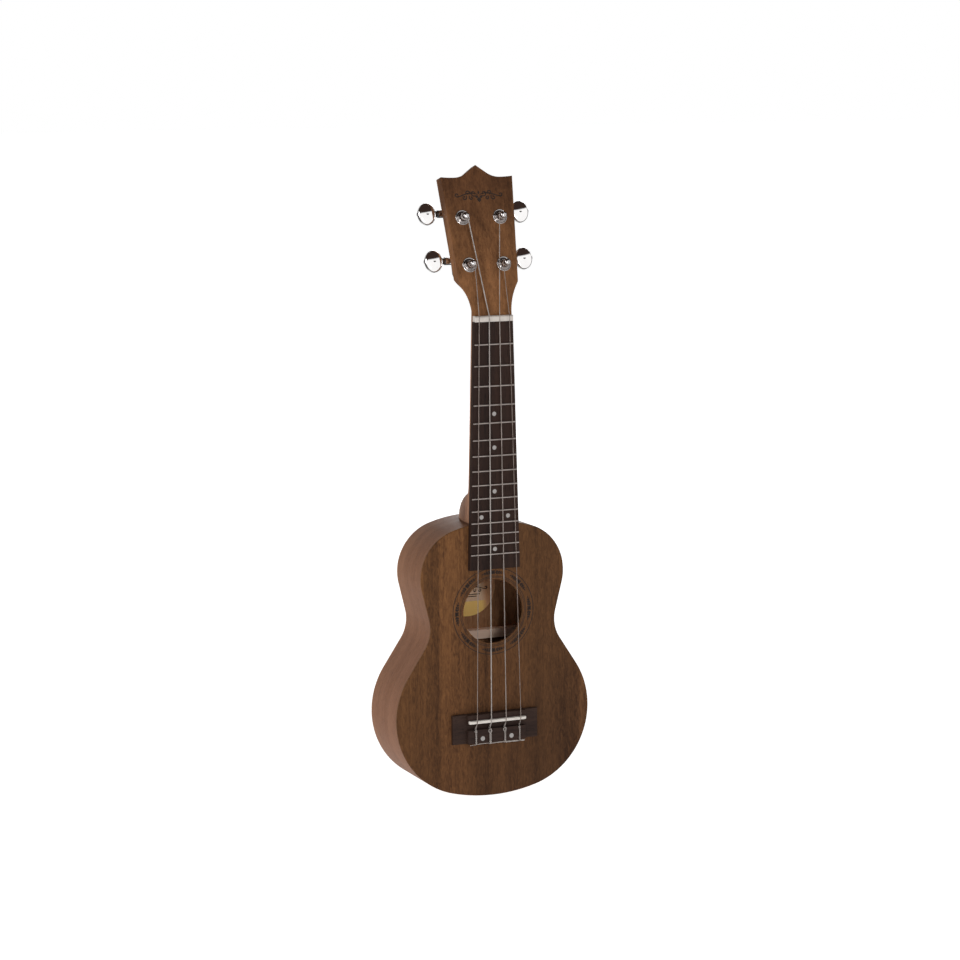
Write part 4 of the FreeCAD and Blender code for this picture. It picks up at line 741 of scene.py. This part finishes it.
# Radius and line width of the rings round the sound hole, in millimetres
ROSETTE_RINGS = ((29.3, 0.42), (30.5, 0.5), (37.5, 0.65))
SPRAYS = 8
SPRAY_RADIUS = 33.9 * MM
STEM_WAVE = 0.35 * MM
STEM_WIDTH = 0.45 * MM
PETALS = 4
LEAF_LEAN = math.radians(50)

# Along the stem, in millimetres from the flower: its points, the pairs of leaves and the end leaf
SPRAY_STEM = [-9 + 0.75 * i for i in range(25)]
LEAF_PLACES = (2.6, 4.8, 7.0)
END_LEAF_PLACE = 8.8


def add_spray(shape, place):
    """A flower with four petals and a wavy stem, leafed on both sides."""
    stem = [(along * MM, STEM_WAVE * math.sin(along * 0.9)) for along in SPRAY_STEM]
    add_stroke(shape, stem, [STEM_WIDTH] * len(stem), place)
    for petal in range(PETALS):
        heading = math.pi / 4 + petal * math.pi / 2
        add_leaf(shape, (0.0, 0.0), heading, 2.5 * MM, 1.9 * MM, place)
    for hand in (-1, 1):
        for i, along in enumerate(LEAF_PLACES):
            for lean in (-1, 1):
                heading = lean * LEAF_LEAN if hand > 0 else math.pi - lean * LEAF_LEAN
                size = (2.7 - 0.35 * i) * MM
                start = (hand * along * MM, 0.0)
                add_leaf(shape, start, heading, size, size * 0.6, place, -lean * hand * 0.9)
        heading = 0.0 if hand > 0 else math.pi
        add_leaf(shape, (hand * END_LEAF_PLACE * MM, 0.0), heading, 2.0 * MM, 1.0 * MM, place)


def make_rosette():
    """Burnt rings round the sound hole with eight leaf sprays between them."""
    shape = bmesh.new()
    for radius, width in ROSETTE_RINGS:
        add_circle(shape, radius * MM, width * MM, on_soundboard)
    for spray in range(SPRAYS):
        middle_angle = spray * math.pi / 4

        def round_hole(along, rise, out, middle_angle=middle_angle):
            angle = middle_angle + along / SPRAY_RADIUS
            radius = SPRAY_RADIUS + rise
            return on_soundboard(radius * math.cos(angle), radius * math.sin(angle), out)

        add_spray(shape, round_hole)
    new_mesh("rosette", shape, MATERIALS["burnt"], "root", smooth=False)


HEAD_ORNAMENT_HALF = 21.8 * MM


def make_head_ornament():
    """The scroll ornament on the headstock, above the upper pair of posts."""
    shape = bmesh.new()
    lift = (HEAD_ORNAMENT_UP - LOWER_POST_UP) * MM

    def place(across, up, out):
        return on_head(across, lift + up, out)

    add_flourish(shape, HEAD_ORNAMENT_HALF, place)
    burnt_wood = MATERIALS["burnt"]
    new_mesh("headstock_ornament", shape, burnt_wood, "root", smooth=False)


LABEL_ORNAMENT_HALF = 18.0 * MM
LABEL_ORNAMENT_DROP = 0.8 * MM
LABEL_LEAN_SHARE = 0.91  # allows for the label's thickness in the lean read off its box
LABEL_LIFT = 0.12  # in millimetres, from the middle of the label's thickness

# Height and half length of the plain lines, in millimetres from the ornament's middle
LABEL_LINES = ((-5.4, 11.0), (-7.2, 8.0))
LABEL_LINE_WIDTH = 0.8 * MM


def make_label_ornament():
    """The scroll ornament and two plain lines printed on the label, which leans with the back."""
    shape = bmesh.new()
    low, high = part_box("label")
    size = high - low
    lean = math.asin(size.y / size.z) * LABEL_LEAN_SHARE
    run = Vector((0.0, -math.sin(lean), math.cos(lean)))
    normal = Vector((0.0, -math.cos(lean), -math.sin(lean)))
    centre = (low + high) / 2 + normal * LABEL_LIFT * MM

    def place(across, up, out):
        return centre + Vector((across, 0.0, 0.0)) + run * (up - LABEL_ORNAMENT_DROP) + normal * out

    add_flourish(shape, LABEL_ORNAMENT_HALF, place)
    for up, half in LABEL_LINES:
        line = [(-half * MM, up * MM), (half * MM, up * MM)]
        add_stroke(shape, line, [LABEL_LINE_WIDTH] * 2, place)
    new_mesh("label_ornament", shape, MATERIALS["ink"], "root", smooth=False)


# ---------------------------------------------------------------- strings


def ring_centre(node, end):
    """Centre of a string's cut end, from the vertices nearest the top or the bottom of its mesh."""
    vertices = [vertex.co for vertex in frame["nodes"][node].data.vertices]
    key = max if end == "top" else min
    limit = key(v.z for v in vertices)
    rim = [v for v in vertices if abs(v.z - limit) < 0.2 * MM]
    return sum(rim, Vector()) / len(rim)


def string_radius(node):
    return GAUGES[node] / 2


WINDING_TURNS = 3
WINDING_STEPS = 24  # to a turn
WINDING_RISE = 4.2  # of all the turns together, in radii of the string
POST_RADIUS = 2.4 * MM
CLIMB_SHARES = (0.25, 0.6, 0.9)  # of the way from the last turn up to the post's hole
CLIMB_TURN = 0.35
CLIMB_IN = 0.05 * MM

# Turn about the post and distance from its axis where the end goes into the hole
HOLE_ENTRY = ((1.25, 1.9 * MM), (1.3, 0.5 * MM))

LEAD_STEPS = 5
LEAD_SHARE = 0.98


def winding_path(round_post, radius, reach):
    """Turns round a post, then the climb to its hole and into it."""
    path = []
    low = WINDING_OUT - 2 * radius
    count = WINDING_STEPS * WINDING_TURNS
    for i in range(count + 1):
        turn = 2 * math.pi * i / WINDING_STEPS
        path.append(round_post(turn, reach, low + WINDING_RISE * radius * (i / count)))
    top = low + WINDING_RISE * radius
    for i, lift in enumerate(CLIMB_SHARES):
        turn = CLIMB_TURN * (i + 1)
        path.append(round_post(turn, reach - CLIMB_IN * i, top + (POST_HOLE_OUT - top) * lift))
    for turn, distance in HOLE_ENTRY:
        path.append(round_post(turn, distance, POST_HOLE_OUT))
    return path


def make_windings():
    """Each string's turns round its post, and the short lead that joins the string to them."""
    for number, node in zip(TUNERS, STRINGS):
        arrival = 1 if number < 3 else -1  # the side of the post that faces the middle
        radius = string_radius(node)
        reach = POST_RADIUS + radius
        axis = post_place(number)
        material = MATERIALS[NYLONS[node]]

        def round_post(turn, distance, out, axis=axis, arrival=arrival):
            across = arrival * distance * math.cos(turn)
            up = distance * math.sin(turn)
            return axis + Vector((across, 0.0, 0.0)) + HEAD_UP * up + HEAD_OUT * out

        shape = bmesh.new()
        add_tube(shape, winding_path(round_post, radius, reach), radius)
        piece = new_mesh(f"wound_{node}", shape, material, f"string_post_{number}")
        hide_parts(f"string_winding_{number}")

        end = ring_centre(node, "top")
        meet = round_post(0.0, reach, WINDING_OUT)
        back = (end - meet).normalized() * radius
        lead = smooth_path([end + back, (end + meet) / 2, meet], LEAD_STEPS)
        shape = bmesh.new()
        add_tube(shape, lead, radius * LEAD_SHARE)
        new_mesh(f"lead_{node}", shape, material, "root")


TWIST_TURNS = 2.6
TWIST_STEPS = 16


def twist(centre_x, lane, out, bottom, top, phase):
    """One strand of a pair twisted round each other, up the face of the tie block."""
    strand = []
    for step in range(TWIST_STEPS + 1):
        share = step / TWIST_STEPS
        angle = 2 * math.pi * TWIST_TURNS * share + phase
        across = centre_x + lane * math.cos(angle)
        up = bottom + (top - bottom) * share
        strand.append(Vector((across, out - lane * math.sin(angle), up)))
    return strand


# How far each tail runs on past the next string, and how far below the block's edge it lies
TAIL_PAST = {
    "string_g": 3.6 * MM,
    "string_c": 12.5 * MM,
    "string_e": 4.6 * MM,
    "string_a": 3.6 * MM,
}
TAIL_DROP = {
    "string_g": 0.0,
    "string_c": 0.0,
    "string_e": 0.75 * MM,
    "string_a": 0.2 * MM,
}

LOOP_RADII = (0.75 * MM, 1.35 * MM, 1.3 * MM, 0.7 * MM)
LOOP_DEGREES = range(-120, 300, 30)
LAST_TAIL = 1.6 * MM  # how far the last string's tail is led past its own hole
TIE_SIDES = 10
TIE_STEPS = 4
OVER_SHARE = 0.8
STUB_STEPS = 5
STUB_RADIUS = 0.3 * MM


def loop_points(x, out, radius, loop, loop_middle):
    """A loop, a little taller than it is wide, that leans outwards as it goes round."""
    points = []
    for degrees in LOOP_DEGREES:
        turn = math.radians(-90 - degrees / 1.25)
        rise = loop_middle + loop * 1.2 * math.sin(turn)
        depth = out - radius * (0.2 + degrees / 400)
        points.append(Vector((x - 0.3 * MM + loop * math.cos(turn), depth, rise)))
    return points


def tie_path(node, start, next_x, loop):
    """A string's tail: out of its hole, up the block, round a loop, down and along the edge."""
    radius = string_radius(node)
    low = corner_low("bridge")
    face = low.y
    bottom = low.z
    lane = radius * 1.1
    out = face - radius * 2.2
    loop_high = TIE_BLOCK_TOP - 0.1 * MM
    loop_middle = loop_high - loop
    neck_high = loop_middle - loop - 0.3 * MM
    strand_low = bottom + 1.2 * MM

    # Out of the hole below the block and up to where the twist begins
    path = [start + Vector((0.0, 0.0, radius)), start + Vector((0.0, -1.2 * MM, -0.5 * MM))]
    path.append(Vector((start.x, out - lane * 0.5, bottom + 0.5 * MM)))

    # Up the block, round the loop and down again beside the first strand
    path += twist(start.x, lane, out, strand_low, neck_high, 0.0)
    path += loop_points(start.x, out, radius, loop, loop_middle)
    path += twist(start.x, lane, out, strand_low, neck_high, math.pi)[::-1]

    # Along the block's lower edge and past the next string
    edge_y = face + 0.3 * MM
    edge_z = bottom - radius * 1.2 - TAIL_DROP[node]
    path.append(Vector((start.x + 0.8 * MM, edge_y - 0.9 * MM, edge_z + 0.25 * MM)))
    path.append(Vector((start.x + 2.4 * MM, edge_y, edge_z)))
    path.append(Vector(((start.x + next_x) / 2, edge_y, edge_z + 0.1 * MM)))
    path.append(Vector((next_x - 0.4 * MM, edge_y + 0.2 * MM, edge_z)))
    path.append(Vector((next_x + TAIL_PAST[node], edge_y, edge_z - 0.1 * MM)))
    return path


def over_path(x, radius):
    """From the loop over the tie block's top to the saddle's crown."""
    front = corner_low("bridge").y
    crown = corner_low("saddle")
    return [
        Vector((x - 0.3 * MM, front - radius * 1.4, TIE_BLOCK_TOP - 0.6 * MM)),
        Vector((x - 0.1 * MM, front - radius * 0.6, TIE_BLOCK_TOP + 0.9 * MM)),
        Vector((x, (front + crown.y) / 2, (TIE_BLOCK_TOP + crown.z) / 2 + 0.3 * MM)),
        Vector((x, crown.y + 0.3 * MM, crown.z - 0.2 * MM)),
    ]


def make_tie_tail(tail):
    """The cut end that sticks out to the side of the first string."""
    low = corner_low("bridge")
    stub = [
        Vector((tail.x + 1.0 * MM, low.y + 0.6 * MM, low.z - 0.7 * MM)),
        Vector((tail.x - 2.0 * MM, low.y + 0.6 * MM, low.z - 0.8 * MM)),
        Vector((tail.x - 5.2 * MM, low.y + 0.2 * MM, low.z - 1.0 * MM)),
    ]
    shape = bmesh.new()
    add_tube(shape, smooth_path(stub, STUB_STEPS), STUB_RADIUS, TIE_SIDES)
    # The cut end is in the lighter copy of the nylon: painted light
    new_mesh("tie_tail", shape, MATERIALS["nylon_bright"], "root")


def make_ties():
    """Each string leaves its hole below the tie block, loops round itself and is tucked away."""
    starts = [ring_centre(node, "bottom") for node in STRINGS]
    ends = [start.x for start in starts[1:]] + [starts[-1].x + LAST_TAIL]
    for node, start, end, loop in zip(STRINGS, starts, ends, LOOP_RADII):
        radius = string_radius(node)
        shape = bmesh.new()
        tie = smooth_path(tie_path(node, start, end, loop), TIE_STEPS)
        add_tube(shape, tie, radius, TIE_SIDES)
        over = smooth_path(over_path(start.x, radius), TIE_STEPS)
        add_tube(shape, over, radius * OVER_SHARE, TIE_SIDES)
        # The ties are in the lighter copy of the nylon: painted light
        new_mesh(f"tie_{node}", shape, MATERIALS["nylon_bright"], "root")
    make_tie_tail(starts[0])


# ---------------------------------------------------------------- bushings


# Radius and height of the bushing's section, in millimetres: a flange, and steps that rise to the
# post. Both are chrome darkened as painted shade, the steps more than the flange.
FLANGE_SECTION = (
    (5.2, -0.02), (6.3, -0.02), (6.4, 0.08), (6.4, 0.3), (6.32, 0.52), (6.12, 0.7),
    (5.86, 0.72), (5.6, 0.58), (5.2, 0.42),
)
STEP_SECTION = (
    (3.06, -9.7), (4.18, -9.7), (4.18, 0.0), (5.55, 0.0), (5.55, 0.5), (5.28, 0.56),
    (5.16, 0.72), (5.08, 1.05), (4.92, 1.3), (4.66, 1.36), (4.4, 1.3), (4.28, 1.42),
    (4.2, 1.7), (4.06, 1.9), (3.8, 1.98), (3.4, 1.98), (3.16, 1.9), (3.06, 1.7),
)
BUSHING_SEGMENTS = 64
BUSHING_CREASE = 60  # degrees


def turned_rings(name, section, material):
    """The same turned ring round every post, from its closed section."""
    shape = bmesh.new()
    for number in TUNERS:
        axis = post_place(number)
        rings = []
        for radius, out in section:
            ring = []
            for i in range(BUSHING_SEGMENTS):
                turn = 2 * math.pi * i / BUSHING_SEGMENTS
                spot = Vector((math.cos(turn), 0.0, 0.0)) + HEAD_UP * math.sin(turn)
                ring.append(shape.verts.new(axis + spot * radius * MM + HEAD_OUT * out * MM))
            rings.append(ring)
        for first, second in zip(rings, rings[1:] + rings[:1]):
            for i in range(BUSHING_SEGMENTS):
                j = (i + 1) % BUSHING_SEGMENTS
                shape.faces.new((first[i], first[j], second[j], second[i]))
    look = MATERIALS[material]
    return new_mesh(name, shape, look, "root", sharp=BUSHING_CREASE)


def make_ferrules():
    """Stepped round bushings pressed into the headstock's face."""
    flanges = turned_rings("bushing_flanges", FLANGE_SECTION, "post_chrome")
    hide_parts("tuner_ferrules")
    turned_rings("bushing_steps", STEP_SECTION, "dark_chrome")


def save_sizes():
    """Put the CAD's box and the visual model's box into plain lists."""
    boxes = {"cad": cad_box, "visual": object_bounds()}
    plain = {key: [list(corner) for corner in box] for key, box in boxes.items()}


# ---------------------------------------------------------------- stage, camera and light


# Angles in degrees, distances in metres, lens in millimetres
VIEW_YAW = 23.6
VIEW_PITCH = 8.34
VIEW_ROLL = -0.38
VIEW_DISTANCE = 2.36
VIEW_LENS = 102.9
SENSOR_WIDTH = 36.0
CLIP_END = 50.0

# How far the aim lies above and to the side of the middle of the CAD's box
AIM_LIFT = 0.0014
AIM_SHIFT = -0.0003


def make_camera():
    """A long lens on the middle of the instrument, from its bass side and a little above."""
    data = bpy.data.cameras.new("view")
    data.lens = VIEW_LENS
    data.sensor_width = SENSOR_WIDTH
    data.clip_end = CLIP_END
    camera = bpy.data.objects.new("view", data)
    bpy.context.scene.collection.objects.link(camera)
    low, high = cad_box
    aim = (Vector(low) + Vector(high)) / 2 + Vector((AIM_SHIFT, 0.0, AIM_LIFT))
    yaw = math.radians(VIEW_YAW)
    pitch = math.radians(VIEW_PITCH)
    level = math.cos(pitch)
    look = Vector((math.sin(yaw) * level, math.cos(yaw) * level, -math.sin(pitch)))
    roll = Quaternion((0.0, 0.0, 1.0), math.radians(VIEW_ROLL))
    turn = look.to_track_quat("-Z", "Y") @ roll
    camera.matrix_world = Matrix.LocRotScale(aim - look * VIEW_DISTANCE, turn, None)
    bpy.context.scene.camera = camera


# Name, place, size in metres and power in watts
LIGHTS = (
    ("key", (0.1, -2.7, 0.95), (0.6, 0.6), 21.0),
    ("side", (-2.2, -0.25, 0.9), (0.8, 1.4), 21.0),
    ("back_fill", (1.4, 2.2, 1.2), (1.4, 1.4), 22.0),
)
LIGHT_AIM = (0.0, 0.0, 0.27)


def make_light(name, place, size, power):
    """A soft rectangular lamp aimed at the instrument."""
    data = bpy.data.lights.new(name, "AREA")
    data.shape = "RECTANGLE"
    data.size, data.size_y = size
    data.energy = power
    light = bpy.data.objects.new(name, data)
    light.location = place
    aim = Vector(LIGHT_AIM) - Vector(place)
    light.rotation_euler = aim.to_track_quat("-Z", "Y").to_euler()
    bpy.context.scene.collection.objects.link(light)


FLOOR_HALF = 30.0
FLOOR_GLOW = 0.93


def make_floor():
    """A wide pale floor, lit from within so that it stays as white as the backdrop."""
    shape = bmesh.new()
    bmesh.ops.create_grid(shape, x_segments=2, y_segments=2, size=FLOOR_HALF)
    mesh = bpy.data.meshes.new("floor")
    shape.to_mesh(mesh)
    shape.free()
    floor = bpy.data.objects.new("floor", mesh)
    bpy.context.scene.collection.objects.link(floor)
    made = Shade("pale_floor", Roughness=0.9, Specular_IOR_Level=0.1)
    grain = made.noise(9.0, detail=3.0)
    made.link(made.ramp(grain, (0.3, grey(0.5)), (0.7, grey(0.53))), "Base Color")
    made.shader.inputs["Emission Color"].default_value = (1.0, 1.0, 1.0, 1.0)
    made.shader.inputs["Emission Strength"].default_value = FLOOR_GLOW
    mesh.materials.append(made.material)
    floor.visible_glossy = False
    floor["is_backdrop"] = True


def backdrop(tree, source, stops, strength=1.0):
    """An environment whose brightness follows a ramp over one part of the direction."""
    ramp = tree.nodes.new("ShaderNodeValToRGB")
    tree.links.new(source, ramp.inputs["Fac"])
    for element, (place, shade) in zip(ramp.color_ramp.elements, stops):
        element.position = place
        element.color = (*shade, 1.0)
    room = tree.nodes.new("ShaderNodeBackground")
    tree.links.new(ramp.outputs["Color"], room.inputs["Color"])
    room.inputs["Strength"].default_value = strength
    return room.outputs[0]


def either(tree, share, first, second):
    """One environment or another, by a share from nought to one."""
    choice = tree.nodes.new("ShaderNodeMixShader")
    tree.links.new(share, choice.inputs["Fac"])
    tree.links.new(first, choice.inputs[1])
    tree.links.new(second, choice.inputs[2])
    return choice.outputs[0]


def crossing(tree, source, start, end):
    """A share that rises from nought to one as the source passes from start to end."""
    made = tree.nodes.new("ShaderNodeMapRange")
    tree.links.new(source, made.inputs["Value"])
    made.inputs["From Min"].default_value = start
    made.inputs["From Max"].default_value = end
    return made.outputs["Result"]


GLOOM = (0.034, 0.021, 0.017)  # what dark parts of the room show in the metal
DUSK = (0.05, 0.045, 0.04)

# Between which heights of the direction a wall turns from lit to gloomy
FRONT_WALL_TOP = (0.455, 0.48)
BACK_WALL_TOP = (0.50, 0.56)

# Between which parts of the direction one side of the room passes into the next
FRONT_CORNER = (-0.22, 0.0)
BACK_CORNER = (0.55, 0.75)
BACK_WINDOW = (0.15, 0.35)

FRONT_WALL_STRENGTH = 1.05
FILL_STRENGTH = 0.22

# The back wall is bright in its middle, like a window, and dim to either side
BACK_WALL_LIT = 0.7
BACK_WALL_DIM = 0.16


def wall_stops(top, brightness):
    return ((top[0], grey(brightness)), (top[1], GLOOM))


def make_world():
    """White for the camera and a dim even fill, with a room that only the metal reflects.

    The room has pale walls in front and behind, and is dark between them.
    """
    world = bpy.data.worlds.new("studio")
    world.use_nodes = True
    tree = world.node_tree
    tree.nodes.clear()
    direction = tree.nodes.new("ShaderNodeTexCoord")
    split = tree.nodes.new("ShaderNodeSeparateXYZ")
    tree.links.new(direction.outputs["Generated"], split.inputs[0])
    up = split.outputs["Z"]
    wall = backdrop(tree, up, wall_stops(FRONT_WALL_TOP, 1.0), FRONT_WALL_STRENGTH)
    lit = backdrop(tree, up, wall_stops(BACK_WALL_TOP, BACK_WALL_LIT))
    shaded = backdrop(tree, up, wall_stops(BACK_WALL_TOP, BACK_WALL_DIM))
    sideways = tree.nodes.new("ShaderNodeMath")
    sideways.operation = "ABSOLUTE"
    tree.links.new(split.outputs["X"], sideways.inputs[0])
    behind = either(tree, crossing(tree, sideways.outputs[0], *BACK_WINDOW), lit, shaded)
    between = backdrop(tree, up, ((0.0, DUSK), (1.0, GLOOM)))
    mirrored = either(tree, crossing(tree, split.outputs["Y"], *FRONT_CORNER), wall, between)
    mirrored = either(tree, crossing(tree, split.outputs["Y"], *BACK_CORNER), mirrored, behind)
    fill = backdrop(tree, up, ((0.0, grey(1.0)), (0.9, grey(0.6))), FILL_STRENGTH)
    white = backdrop(tree, up, ((0.0, grey(1.0)), (1.0, grey(1.0))))
    path = tree.nodes.new("ShaderNodeLightPath")
    seen = either(tree, path.outputs["Is Glossy Ray"], fill, mirrored)
    seen = either(tree, path.outputs["Is Camera Ray"], seen, white)
    out = tree.nodes.new("ShaderNodeOutputWorld")
    tree.links.new(seen, out.inputs["Surface"])
    bpy.context.scene.world = world
    bpy.context.scene.view_settings.view_transform = "Standard"


def make_studio():
    """The room the metal reflects, the floor and the lamps."""
    make_world()
    make_floor()
    for light in LIGHTS:
        make_light(*light)


dress_nodes()
make_rosette()
make_head_ornament()
make_label_ornament()
make_windings()
make_ties()
make_ferrules()
make_camera()
make_studio()
save_sizes()
